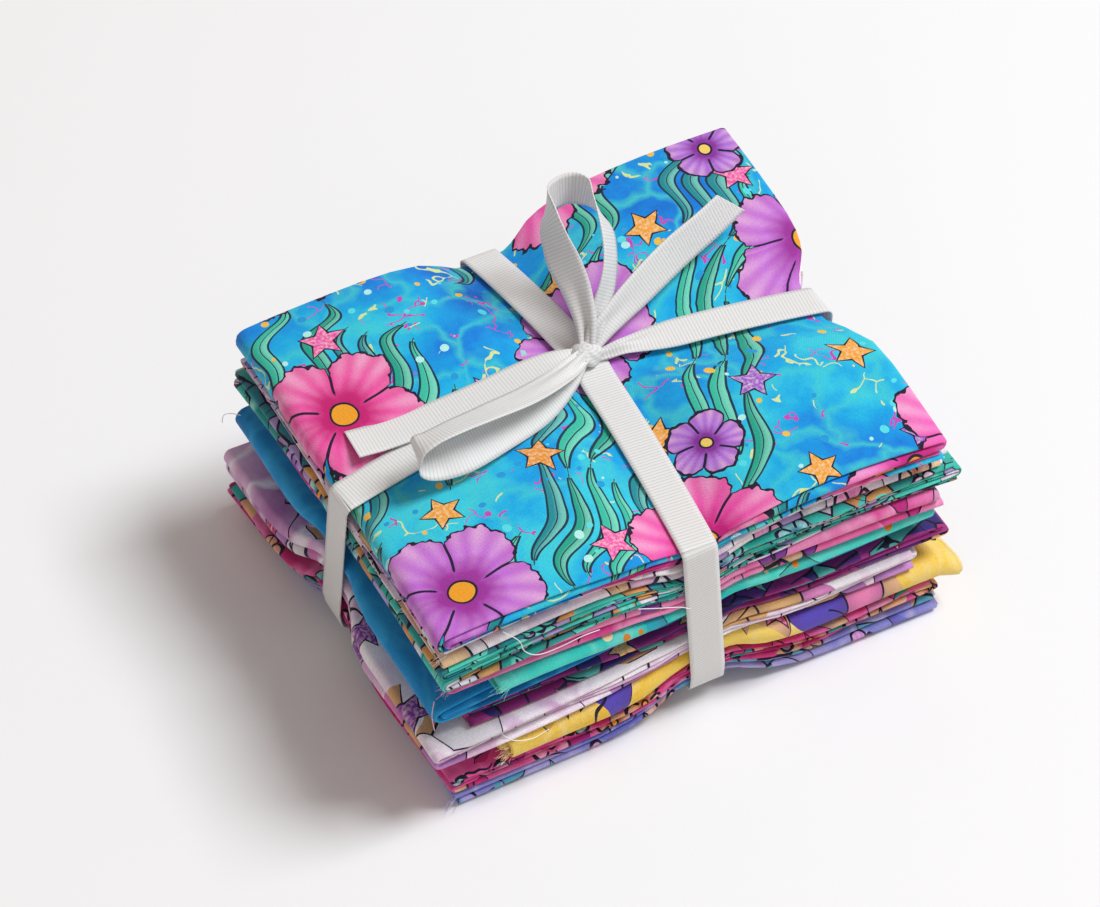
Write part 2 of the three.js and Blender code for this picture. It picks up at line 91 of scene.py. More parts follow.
# Folds of the passes and of the layers: how far a tight and a wide turn stand out, how far a turn
# inside another is held in, and the points on a turn. Then the points across one pass and one layer.
PASS_TURNS = ((1.2, 2.6), 2.6, 8)
LAYER_TURNS = ((0.6, 1.3), 1.3, 6)
PASS_POINTS = 30
LAYER_POINTS = 26
# How far the folded edges slip past each other along the strip and across it, and over which lengths
SLIP = (0.8, 1.4)
SLIP_WAVELENGTHS = (110, 85)
# Uneven height of the passes inside a piece
INNER_WAVE = 0.07
INNER_WAVELENGTH = 75

# Folded pieces from the top down. run: direction of the strip. plan and lead: how its passes turn.
# across and lead_across: how the layers of the strip turn. left, right: X at the front and at the back.
# front, back: Y at the left and at the right. thick: height at the four corners.
# passes: share of the height of each pass from the bottom up. shift: where the print starts.
# slot: material slot, named after the piece.
COLUMNS = ("name", "run", "plan", "lead", "across", "lead_across", "left", "right", "front", "back",
           "thick", "passes", "shift")
PIECES = [dict(zip(COLUMNS, row), slot=f"{row[0]}_cotton") for row in (
    ("azure", "x", "book", -1, "book", -1, (-72.5, -72), (69.5, 74), (-58.8, -59),
     (58, 60), (5.6, 7.2, 6.2, 6.8), (0.16, 0.16, 0.46, 0.22), (0, 0)),
    ("pale", "y", "zigzag", -1, "zigzag", -1, (-70.5, -71), (70, 74.5), (-57.5, -57.2),
     (57, 58), (5.2, 5, 4.8, 6), (0.2, 0.34, 0.2, 0.26), (40, 10)),
    ("mint", "x", "zigzag", -1, "zigzag", -1, (-71.6, -73), (74.5, 73), (-58.6, -58.6),
     (58, 57.5), (7.4, 5.4, 7, 6), (0.16, 0.36, 0.3, 0.18), (10, 60)),
    ("pink", "y", "zigzag", -1, "book", -1, (-69.5, -70), (68.5, 71), (-57, -60),
     (56.5, 57.5), (4.8, 7.2, 4.8, 6), (0.2, 0.22, 0.3, 0.28), (70, 20)),
    ("turquoise", "y", "book", -1, "zigzag", -1, (-55.5, -64), (69, 70), (-60, -58.5),
     (57, 56.5), (5.4, 5, 4.8, 6), (0.25, 0.25, 0.25, 0.25), (15, 35)),
    ("blue", "x", "book", -1, "book", -1, (-73.5, -74.5), (66, 70), (-55.5, -54.5),
     (58.5, 58), (4.8, 4.8, 7.4, 6), (0.3, 0.2, 0.2, 0.3), (25, 5)),
    ("plum", "x", "zigzag", 1, "book", -1, (-65, -69), (72.5, 71), (-55.5, -57.5),
     (57, 56), (5, 4.8, 4.8, 6), (0.3, 0.2, 0.2, 0.3), (5, 80)),
    ("lilac", "x", "zigzag", -1, "book", -1, (-75.5, -77.6), (64, 76), (-59.6, -58.6),
     (59, 58), (6.6, 6.4, 11.5, 6), (0.28, 0.26, 0.12, 0.34), (60, 45)),
    ("yellow", "y", "book", -1, "zigzag", -1, (-56, -62), (76, 73), (-61, -60.2),
     (57.5, 57), (7.4, 8.2, 5, 6), (0.25, 0.25, 0.25, 0.25), (30, 30)),
    ("magenta", "x", "zigzag", -1, "book", -1, (-70.5, -76.4), (71, 70.5), (-59, -58.6),
     (61, 58), (5.6, 5.6, 5, 6), (0.32, 0.16, 0.34, 0.18), (90, 15)),
    ("periwinkle", "y", "zigzag", -1, "zigzag", -1, (-69.5, -71), (70.5, 72),
     (-58.6, -60), (57.5, 58.5), (5, 6, 5, 6), (0.38, 0.14, 0.3, 0.18), (50, 70)),
)]

# The yellow piece's right end hangs down beyond the piece under it: how far, and from which X to which
DROOP = {"yellow": 3}
DROOP_FROM = (69.5, 78)

# Ribbon: 3/8 inch grosgrain with a crosswise rib each 0.9 mm
RIBBON_WIDTH = 9.7
RIBBON_THICK = 0.35
RIB_PITCH = 0.9
RIB_DEPTH = 0.05
RIBBON_THREAD_PITCH = 0.3
STAND_OFF = 0.8
BAND_COLUMNS = 9
STEP = RIB_PITCH / 4
# One band lies over the other: how far it lifts, and how far to either side of the crossing
BAND_LAP = 0.5
LAP_REACH = 12
# Points over the top and under the stack, then over which length the ribbon rounds an edge, and its step
BAND_POINTS = 240
BEND_REACH = 1.8
BEND_STEP = 0.3
# Share of the crosswise band's width spread out at the knot, and how far from the knot it is all spread out
GATHERED_SHARE = 0.36
GATHER_REACH = 25
# How far the ribbon turns in below, where it draws in the lowest cloth, and from which height it does
TUCK = 1.3
TUCK_FROM = 7
KNOT_RISE = 2.4
KNOT_RADIUS = (4.0, 3.3, 2.7)

# Bow frame: side is level, rise leans back, near looks to the front left and up by the lean
BOW_TURN = math.radians(-28.2)
BOW_LEAN = math.radians(46)

# Rows: side, rise, near of the middle line, the same of the width direction, share of the width spread out
STANDING_LOOP = np.array([
    (0, 1, 0, 1, 0, 0.3, 0.4),
    (-0.6, 8.8, 1.5, 0.95, 0.1, 0.3, 0.62),
    (-3, 16.8, 3, 0.92, 0.1, 0.38, 0.85),
    (-5.8, 22.8, 4, 0.85, 0.15, 0.5, 1),
    (-8, 28.2, 4.4, 0.68, 0.15, 0.7, 1),
    (-9.6, 33.4, 4, 0.42, 0.4, 0.8, 1),
    (-10.2, 38, 1.6, 0.1, 0.8, 0.6, 1),
    (-7.8, 40.8, -2, 0, 0.78, 0.62, 1),
    (-3.8, 42.3, -3.6, 0, 0.75, 0.66, 1),
    (-0.2, 41.2, -3, -0.1, 0.75, 0.66, 1),
    (2.4, 37.6, -1.4, -0.25, 0.5, 0.8, 1),
    (4.9, 32.2, 0, -0.35, 0.15, 0.92, 1),
    (5.9, 25.4, 0.4, -0.35, 0, 0.94, 1),
    (5.4, 18.6, 0.3, -0.42, 0, 0.9, 0.95),
    (3.5, 11.2, 0, -0.65, 0, 0.7, 0.7),
    (1.2, 2, -0.4, -0.9, 0, 0.4, 0.4),
])
LYING_LOOP = np.array([
    (-1, -1, 1, -0.5, 0.8, 0, 0.4),
    (-5.6, -7, 7.4, -0.54, 0.84, 0, 0.75),
    (-12.5, -13.6, 15.4, -0.54, 0.84, 0, 1),
    (-21.8, -20, 25.4, -0.54, 0.84, 0, 1),
    (-30.2, -25, 32.4, -0.5, 0.86, 0, 1),
    (-36.8, -27, 35.4, -0.4, 0.9, -0.1, 1),
    (-41, -26.6, 37.6, -0.3, 0.85, -0.45, 1),
    (-41.4, -23.8, 39.4, -0.25, 0.6, -0.75, 1),
    (-38.4, -21.6, 39.4, -0.2, 0.4, -0.9, 1),
    (-32.4, -18.6, 37, -0.2, 0.35, -0.9, 1),
    (-24.2, -15, 31.4, -0.2, 0.35, -0.9, 1),
    (-14.7, -10.6, 21.6, -0.2, 0.4, -0.85, 0.9),
    (-6.4, -5.4, 11, -0.2, 0.5, -0.8, 0.7),
    (-1, -0.6, 2.4, -0.3, 0.7, -0.6, 0.4),
])
RISING_TAIL = np.array([
    (0.5, 1.5, -0.4, 0.8, -0.5, -0.3, 0.45),
    (5.4, 8, -1.6, 0.75, -0.5, -0.45, 0.68),
    (13.4, 16.8, -5, 0.74, -0.42, -0.56, 0.92),
    (22.4, 26, -9.4, 0.74, -0.32, -0.6, 1),
    (31, 33.6, -13, 0.72, -0.28, -0.63, 1),
    (39, 41.2, -16.6, 0.7, -0.25, -0.67, 1),
])
# Half the length by which the rising tail's end is cut at a slant
TAIL_CUT = 2.6
# The left tail lies on the cloth: X and Y from the knot, height over the band under it, share spread out
LYING_TAIL = np.array([
    (0, 0.6, 2.4, 0.45),
    (-7, 0.6, 3.2, 0.8),
    (-16, 0.4, 2.4, 1),
    (-30, -0.2, 1.6, 1),
    (-46, -0.4, 1.4, 1),
    (-58, -0.2, 1.8, 1),
    (-66, 0.2, 2.8, 1),
])

# Camera fitted to the stack's corners: degrees, millimetres
CAMERA_TURN = math.radians(-28.186)
CAMERA_TILT = math.radians(45.972)
CAMERA_AWAY = 905.985
CAMERA_TARGET = (-6.274, 9.636, 33.12)
CAMERA_LENS = 114.55
SENSOR_WIDTH = 36
# Nearest and farthest that the camera shows, in metres
CAMERA_CLIP = (0.05, 20)


def blend(a, b, t):
    """Value that goes from a to b as t goes from 0 to 1."""
    return a + (b - a) * t


def ease(low, high, x):
    """0 below low, 1 above high, and the cubic 3t^2 - 2t^3 between."""
    t = np.clip((x - low) / (high - low), 0, 1)
    return t * t * (3 - 2 * t)


def spread(corners, s, t):
    """Bilinear mix of front left, front right, back left and back right."""
    front_left, front_right, back_left, back_right = corners
    return blend(blend(front_left, front_right, s), blend(back_left, back_right, s), t)


def ripple(seed, x, y, wavelength, waves=6):
    """Sum of sine waves in random directions, with lengths near the one given, about -1 to 1."""
    rng = np.random.default_rng(seed)
    total = 0
    for _ in range(waves):
        turn, phase = rng.uniform(0, 2 * math.pi, 2)
        stretch = 2 * math.pi / (wavelength * rng.uniform(0.7, 1.6))
        total = total + np.sin(stretch * (x * math.cos(turn) + y * math.sin(turn)) + phase)
    return total / waves * 1.7


def pinch(distance, near=5, wide=33, tight=0.55):
    """1 under the band, and two cubic shoulders, a steep one and a broad one, down to 0."""
    far = np.abs(distance)
    return tight * (1 - ease(near, near + 11, far)) + (1 - tight) * (1 - ease(near, wide, far))


def lengthwise_low_x(y):
    """Middle line of the band under the stack."""
    return np.interp(y, (-HALF_DEPTH, HALF_DEPTH), LENGTHWISE_LOW)


def crosswise_low_y(x):
    """Middle line of the other band under the stack."""
    return np.interp(x, (-HALF_LENGTH, HALF_LENGTH), CROSSWISE_LOW)


def lengthwise_x(y):
    """Middle line of the band over the top, bent at the knot."""
    return np.interp(y, (-HALF_DEPTH, KNOT[1], HALF_DEPTH), LENGTHWISE_TOP)


def crosswise_y(x):
    """Middle line of the other band over the top, bent at the knot."""
    return np.interp(x, (-HALF_LENGTH, KNOT[0], HALF_LENGTH), CROSSWISE_TOP)


def shares(x, y):
    """Place in the footprint from 0 to 1 both ways."""
    return (x + HALF_LENGTH) / FOLDED_LENGTH, (y + HALF_DEPTH) / FOLDED_DEPTH


def stack_top(x, y):
    """Chord between the corners, plus one lifted corner and pillows, minus the larger trough."""
    s, t = shares(x, y)
    inside_s, inside_t = np.clip(s, 0, 1), np.clip(t, 0, 1)
    chord = spread(CORNER_HEIGHT, s, t)
    corner = LIFTED_CORNER * (inside_s * inside_t) ** LIFTED_CORNER_SHARPNESS
    out_x, out_y = np.clip(np.abs(x) / HALF_LENGTH, 0, 1), np.clip(np.abs(y) / HALF_DEPTH, 0, 1)
    pillow = PILLOW_RISE * 2 * (out_x * (1 - out_x) + out_y * (1 - out_y))
    depth = TROUGH_DEPTH
    along = np.interp(inside_t, (0, 0.5, 1), (depth["front"], depth["middle"], depth["back"]))
    trough = np.maximum(along * pinch(x - lengthwise_x(y)), depth["side"] * pinch(y - crosswise_y(x)))
    return chord + corner + pillow - trough


def stack_bottom(x, y):
    """Flat on the surface, lifted where the ribbon passes under, most at the four edges."""
    lift = BOTTOM_LIFT
    outer_y = np.where(y < 0, lift["front"], lift["back"])
    outer_x = np.where(x < 0, lift["left"], lift["right"])
    under_length = blend(lift["middle"], outer_y, ease(*LIFT_GROWS_Y, np.abs(y)))
    under_cross = blend(lift["middle"], outer_x, ease(*LIFT_GROWS_X, np.abs(x)))
    near_length = pinch(x - lengthwise_low_x(y), tight=LIFT_TIGHT)
    near_cross = pinch(y - crosswise_low_y(x), tight=LIFT_TIGHT)
    return np.maximum(under_length * near_length, under_cross * near_cross)


def face_between(level, x, y):
    """Face over piece number level: a share of the way from the bottom to the top, with soft waves."""
    s, t = shares(x, y)
    s, t = np.clip(s, -0.05, 1.05), np.clip(t, -0.05, 1.05)
    heights = [spread(piece["thick"], s, t) for piece in PIECES]
    share = sum(heights[level:], 0 * x) / sum(heights)
    free = 1 - np.maximum(pinch(x - lengthwise_x(y)), pinch(y - crosswise_y(x)))
    size = {0: TOP_WAVE, len(PIECES): 0}.get(level, FACE_WAVE)
    wave = size * free * ripple(100 + level, x, y, FACE_WAVELENGTH)
    return blend(stack_bottom(x, y), stack_top(x, y), share) + wave


def stations(width, focus, count):
    """Places from 0 to 1 across a pass, close together at both folds and at the band."""
    r = np.linspace(0, width, 800)
    density = 1 + 3.2 * np.exp(-(((r - focus) / 13) ** 2)) + 4 * (np.exp(-r / 5) + np.exp((r - width) / 5))
    total = np.concatenate([[0], np.cumsum(density[1:] + density[:-1])])
    return np.interp(np.linspace(0, total[-1], count), total, r) / width


def folded_line(plan, lead, width, pitch, fractions, reach, nest, arc_steps):
    """Line of cloth laid back and forth: level passes joined by half ellipses.

    A turn between levels a and b spans a half ellipse of height |a - b| pitches. reach is how far a
    tight and a wide turn stand out, nest how far a turn inside another is held in. Returns place
    across, height, and the flat length up to each point."""
    route = ROUTES[plan]
    sides = [lead if n % 2 == 0 else -lead for n in range(len(route) - 1)]
    turns = []
    for n, side in enumerate(sides):
        gap = abs(route[n + 1] - route[n])
        inset = nest if plan == "book" and side == lead and gap == 1 else 0
        turns.append((side, inset, reach[gap > 1]))
    across, height = [], []
    for n, level in enumerate(route):
        side = sides[n] if n < len(sides) else -sides[-1]
        start = turns[n - 1][1] + turns[n - 1][2] if n > 0 else 0.4 * nest
        end = turns[n][1] + turns[n][2] if n < len(turns) else 0.7 * nest
        low, high = (end, width - start) if side < 0 else (start, width - end)
        line = low + fractions * (high - low)
        across.append(line[::-1] if side < 0 else line)
        height.append(np.full(len(line), (level + 0.5) * pitch))
        if n < len(turns):
            side, inset, out = turns[n]
            angle = np.linspace(-math.pi / 2, math.pi / 2, arc_steps + 2)[1:-1]
            arc = inset + out - out * np.cos(angle)
            across.append(arc if side < 0 else width - arc)
            middle = (route[n] + route[n + 1] + 1) / 2 * pitch
            height.append(middle + (route[n + 1] - route[n]) / 2 * pitch * np.sin(angle))
    across, height = np.concatenate(across), np.concatenate(height)
    steps = np.hypot(np.diff(across), np.diff(height))
    return across, height, np.concatenate([[0], np.cumsum(steps)])


def side_normals(across, height):
    """Unit vector square to a line in its own plane, a quarter turn to the left of its direction."""
    along, up = np.gradient(across), np.gradient(height)
    size = np.hypot(along, up)
    return -up / size, along / size


def held_edge(ends, share, distance, limit):
    """Edge of a folded piece between its two corners, drawn in to the limit under the band."""
    free = blend(ends[0], ends[1], np.clip(share, 0, 1))
    held = np.maximum(free, limit) if limit < 0 else np.minimum(free, limit)
    return blend(free, held, pinch(distance, near=HOLD_NEAR, wide=HOLD_WIDE))


def footprint(piece, along, over):
    """Places along and over the strip as X and Y of a plain rectangle, whichever way the strip runs."""
    return (along - HALF_LENGTH, over - HALF_DEPTH) if piece["run"] == "x" else (
        over - HALF_LENGTH, along - HALF_DEPTH)


def fat_quarter_points(piece, level):
    """Cloth folded twice: the strip's own layers stand off its middle line by their heights.

    Point = line(s) + layer height(q) x normal(s), then stretched to the piece's outline and to the
    two faces that bound it. Returns places (rows s, columns q) and the flat cloth coordinates."""
    run_x = piece["run"] == "x"
    width, breadth = (FOLDED_LENGTH, FOLDED_DEPTH) if run_x else (FOLDED_DEPTH, FOLDED_LENGTH)
    flat_s, flat_q = (FLAT_LENGTH, FLAT_DEPTH) if run_x else (FLAT_DEPTH, FLAT_LENGTH)
    focus_s, focus_q = (HALF_LENGTH, HALF_DEPTH + 6) if run_x else (HALF_DEPTH + 6, HALF_LENGTH)
    r, z, s = folded_line(piece["plan"], piece["lead"], width - 2 * STRIP_HALF, PASS_PITCH,
                          stations(width, focus_s, PASS_POINTS), *PASS_TURNS)
    a, n, q = folded_line(piece["across"], piece["lead_across"], breadth, LAYER_PITCH,
                          stations(breadth, focus_q, LAYER_POINTS), *LAYER_TURNS)
    s, q = s / s[-1] * flat_s, q / q[-1] * flat_q
    n = n - LAYERS * LAYER_PITCH / 2
    out_r, out_z = side_normals(r, z)
    along = STRIP_HALF + r[:, None] + n[None, :] * out_r[:, None]
    up = z[:, None] + n[None, :] * out_z[:, None]
    over = a[None, :] + 0 * along
    flat_along, flat_over = s[:, None] + 0 * over, q[None, :] + 0 * over
    seed = 10 * level
    slip = ripple(seed + 1, flat_along, over, SLIP_WAVELENGTHS[0])
    slip_over = ripple(seed + 2, flat_along, 0 * over, SLIP_WAVELENGTHS[1])
    slip_over = slip_over + 0.35 * ripple(seed + 4, flat_along, 0.25 * flat_over, SLIP_WAVELENGTHS[1])
    x0, y0 = footprint(piece, along, over)
    share_x, share_y = shares(x0, y0)
    x0 = blend(blend(*piece["left"], share_y), blend(*piece["right"], share_y), share_x)
    y0 = blend(blend(*piece["front"], share_x), blend(*piece["back"], share_x), share_y)
    rise = 1 - (level + 0.5) / len(PIECES)
    from_cross = y0 - blend(crosswise_low_y(x0), crosswise_y(x0), rise)
    from_length = x0 - blend(lengthwise_low_x(y0), lengthwise_x(y0), rise)
    bands = (from_cross, from_length) if run_x else (from_length, from_cross)
    free_s, free_q = [1 - pinch(away, near=HOLD_NEAR, wide=HOLD_WIDE) for away in bands]
    along = along + SLIP[0] * free_s * slip * (2 * along / width - 1) ** 2
    over = over + SLIP[1] * free_q * slip_over * (2 * over / breadth - 1) ** 2
    share_x, share_y = shares(*footprint(piece, along, over))
    inward = EDGE_DRAWN_IN * abs(2 * level / (len(PIECES) - 1) - 1) ** 6
    left = held_edge(piece["left"], share_y, from_cross, RIBBON_LIMIT["left"] + inward)
    right = held_edge(piece["right"], share_y, from_cross, RIBBON_LIMIT["right"] - inward)
    front = held_edge(piece["front"], share_x, from_length, RIBBON_LIMIT["front"] + inward)
    back = held_edge(piece["back"], share_x, from_length, RIBBON_LIMIT["back"] - inward)
    x, y = blend(left, right, share_x), blend(front, back, share_y)
    pass_tops = np.concatenate([[0], np.cumsum(piece["passes"])])
    share_z = np.interp(up / FOLDED_HEIGHT, np.linspace(0, 1, len(pass_tops)), pass_tops)
    share_z = share_z + INNER_WAVE * np.sin(math.pi * share_z) * ripple(seed + 3, x, y, INNER_WAVELENGTH)
    low = face_between(level + 1, x, y) + PIECE_GAP / 2
    high = face_between(level, x, y) - PIECE_GAP / 2
    droop = DROOP.get(piece["name"], 0) * ease(*DROOP_FROM, x)
    points = np.stack([x, y, blend(low, high, share_z) - droop], -1)
    flat = np.stack(np.broadcast_arrays(s[:, None], q[None, :]), -1)
    return points, (flat if run_x else flat[..., ::-1]) + np.array(piece["shift"])


def new_object(name, points, faces, flat, materials):
    """Object at the origin from points in millimetres, quads, and flat coordinates for each point."""
    mesh = bpy.data.meshes.new(name)
    mesh.from_pydata((points.reshape(-1, 3) * MM).tolist(), [], faces.tolist())
    mesh.polygons.foreach_set("use_smooth", np.ones(len(faces), bool))
    layer = mesh.uv_layers.new(name="flat")
    layer.data.foreach_set("uv", (flat.reshape(-1, 2)[faces.ravel()] * MM).astype(np.float32).ravel())
    for material in materials:
        mesh.materials.append(material)
    mesh.update()
    made = bpy.data.objects.new(name, mesh)
    bpy.context.scene.collection.objects.link(made)
    return made


def grid_faces(rows, columns, flip=False):
    """Quads of a grid, facing rows x columns, or the other way."""
    index = np.arange(rows * columns).reshape(rows, columns)
    quads = np.stack([index[:-1, :-1], index[1:, :-1], index[1:, 1:], index[:-1, 1:]], -1).reshape(-1, 4)
    return quads[:, ::-1] if flip else quads


def give_thickness(made, thickness):
    """Closes a single surface to cloth of that thickness, with its other side in the next material."""
    solid = made.modifiers.new("thickness", "SOLIDIFY")
    solid.thickness = thickness * MM
    solid.offset = 0
    solid.material_offset = 1
    solid.use_even_offset = False


# Materials

# Textures lie in the plane of the flat cloth, unless a call says otherwise
IN_PLANE = {"TexNoise": {"noise_dimensions": "2D"}, "TexWhiteNoise": {"noise_dimensions": "2D"},
            "TexVoronoi": {"voronoi_dimensions": "2D"}}
# How far one seed moves a print from the next: prints set in cells, patches, and drawn lines
CELL_STEP = (3.7, 5.3)
PATCH_STEP = (7.1, 2.9)
LINE_STEP = (4.3, 8.9)
# Share of a flower's size that is its heart, and of a star's size at which its notches lie
HEART_SHARE = 0.17
NOTCH_SHARE = 0.48
# Width of the ink round flowers, and round stars and leaves
FLOWER_INK = 0.4
THIN_INK = 0.3


def linear(colour):
    """sRGB hex value to linear red, green, blue and 1."""
    parts = np.array([(colour >> 16) & 255, (colour >> 8) & 255, colour & 255]) / 255
    parts = np.where(parts <= 0.04045, parts / 12.92, ((parts + 0.055) / 1.055) ** 2.4)
    return (*parts.tolist(), 1)


INK = linear(0x1C1430)


def add_node(tree, kind, inputs=(), out=0, stops=None, **settings):
    """Adds one node. inputs are its sockets in order or by name: a value or another node's output.

    A kind in capitals is the operation of a Math node. settings are a node's own properties, stops the
    places and colours of a ramp. Returns output number out, or the node where out is None."""
    if kind.isupper():
        kind, settings = "Math", {"operation": kind, **settings}
    node = tree.nodes.new("ShaderNode" + kind)
    for name, value in {**IN_PLANE.get(kind, {}), **settings}.items():
        setattr(node, name, value)
    for key, value in inputs.items() if isinstance(inputs, dict) else enumerate(inputs):
        if isinstance(value, bpy.types.NodeSocket):
            tree.links.new(value, node.inputs[key])
        else:
            node.inputs[key].default_value = value
    if stops:
        ramp = node.color_ramp
        while len(ramp.elements) < len(stops):
            ramp.elements.new(0.5)
        for element, (place, colour) in zip(ramp.elements, stops):
            element.position = place
            element.color = linear(colour)
    return node if out is None else node.outputs[out]


def new_material(name):
    """Material with an empty node tree, and the function that adds a node to it."""
    material = bpy.data.materials.new(name)
    material.use_nodes = True
    material.node_tree.nodes.clear()
    return material, partial(add_node, material.node_tree)


def picked(add, chance, colours):
    """One of the colours, each for an even share of the chance from 0 to 1."""
    stops = [(n / len(colours), colour) for n, colour in enumerate(colours)]
    hue = add("ValToRGB", (chance,), stops=stops)
    hue.node.color_ramp.interpolation = "CONSTANT"
    return hue


def shifted(add, place, seed, step, size, level=1):
    """Place moved by the seed times a step both ways, in units of the size both ways."""
    return add("Mapping", {"Vector": place, "Location": (seed * step[0], seed * step[1], 0),
                           "Scale": (1 / size[0], 1 / size[1], level)})


def scattered(add, place, spacing, seed, loose=0.35):
    """One point in each square cell of the spacing: the vector from it, its length, and three chances."""
    moved = shifted(add, place, seed, CELL_STEP, (spacing, spacing), 0)
    cell = add("TexVoronoi", {"Vector": moved, "Scale": 1, "Randomness": loose}, out=None, feature="F1")
    away = add("VectorMath", (moved, cell.outputs["Position"]), operation="SUBTRACT")
    radius = add("VectorMath", (away,), out=1, operation="LENGTH")
    chances = add("SeparateColor", (cell.outputs["Color"],), out=None).outputs
    return away, radius, chances


def turned_angle(add, away, chance):
    """Angle of the vector from a cell's point, turned by the chance times a full turn."""
    parts = add("SeparateXYZ", (away,), out=None).outputs
    angle = add("ARCTAN2", (parts[1], parts[0]))
    return add("MULTIPLY_ADD", (chance, 2 * math.pi, angle))


def laid_over(add, under, colour, mask, blend_type="MIX"):
    """Colour printed over another where the mask is 1."""
    return add("Mix", {0: mask, 6: under, 7: colour}, out=2, data_type="RGBA", blend_type=blend_type)


def where_all(add, mask, *others):
    """Product of masks, which is 1 where all of them are."""
    for other in others:
        mask = add("MULTIPLY", (mask, other))
    return mask


def flowers(add, under, place, spacing, size, petals, depth, colours, cover, seed, heart=0xF2A326):
    """Flower in each cell, inked round its edge and between the petals, deep at the heart.

    Radius = size x (0.9 - depth + depth x |cos(petals x angle / 2)|^0.5 + 0.2 x noise)."""
    away, radius, chances = scattered(add, place, spacing, seed)
    turned = turned_angle(add, away, chances[0])
    half_turn = add("MULTIPLY", (turned, petals / 2))
    notch = add("ABSOLUTE", (add("COSINE", (half_turn,)),))
    petal = add("POWER", (notch, 0.5))
    ruffle = add("TexNoise", {"Vector": place, "Scale": 0.35, "Detail": 1})
    rim = add("MULTIPLY_ADD", (petal, size * depth, size * (0.9 - depth)))
    rim = add("MULTIPLY_ADD", (ruffle, size * 0.2, rim))
    ratio = add("DIVIDE", (radius, rim))
    there = add("LESS_THAN", (chances[2], cover))
    inside = where_all(add, add("LESS_THAN", (ratio, 1)), there)
    hue = picked(add, chances[1], colours)
    stops = [(0, 0xA8307C), (0.3, 0xD070B0), (0.62, 0xFFFFFF), (1, 0xF0C0E0)]
    painted = laid_over(add, hue, add("ValToRGB", (ratio,), stops=stops), 0.85, "MULTIPLY")
    streak = add("SINE", (add("MULTIPLY", (turned, petals * 3.5)),))
    streak = add("MULTIPLY_ADD", (streak, 0.16, 0.36))
    light = add("MapRange", (ratio, 0.3, 0.85, 0, 1))
    light = add("MULTIPLY", (light, add("MULTIPLY", (petal, streak))))
    painted = laid_over(add, painted, linear(0xFFD6F2), light)
    middle = add("LESS_THAN", (radius, size * HEART_SHARE))
    painted = laid_over(add, painted, linear(heart), middle)
    under = laid_over(add, under, painted, inside)
    width = FLOWER_INK / spacing
    edge = add("COMPARE", (radius, rim, width))
    ring = add("COMPARE", (radius, size * HEART_SHARE, width * 0.7))
    apart = add("MULTIPLY", (notch, radius))
    vein = add("LESS_THAN", (apart, width * petals / 2.4))
    outer = add("GREATER_THAN", (ratio, 0.42))
    vein = where_all(add, vein, outer, inside)
    ink = where_all(add, add("MAXIMUM", (edge, ring)), there)
    return laid_over(add, under, INK, add("MAXIMUM", (ink, vein)))


def stars(add, under, place, spacing, size, points, colours, cover, seed):
    """Star in each cell with straight edges between its points and notches.

    At an angle f from a point, radius = outer x inner x sin(g) / (inner x sin(g - f) + outer x sin(f)),
    where g is half the angle between two points."""
    away, radius, chances = scattered(add, place, spacing, seed)
    turned = turned_angle(add, away, chances[0])
    half_turn = math.pi / points
    fold = add("PINGPONG", (turned, half_turn))
    inner = size * NOTCH_SHARE
    near_notch = add("SINE", (add("SUBTRACT", (half_turn, fold)),))
    near_point = add("MULTIPLY", (add("SINE", (fold,)), size))
    below = add("MULTIPLY_ADD", (near_notch, inner, near_point))
    rim = add("DIVIDE", (size * inner * math.sin(half_turn), below))
    there = add("LESS_THAN", (chances[2], cover))
    inside = where_all(add, add("LESS_THAN", (radius, rim)), there)
    glitter = add("TexNoise", {"Vector": place, "Scale": 1.1, "Detail": 2})
    light = add("MapRange", (glitter, 0.4, 0.75, 0, 0.6))
    painted = laid_over(add, picked(add, chances[1], colours), linear(0xFFE9D0), light)
    under = laid_over(add, under, painted, inside)
    edge = add("COMPARE", (radius, rim, THIN_INK / spacing))
    return laid_over(add, under, INK, where_all(add, edge, there))


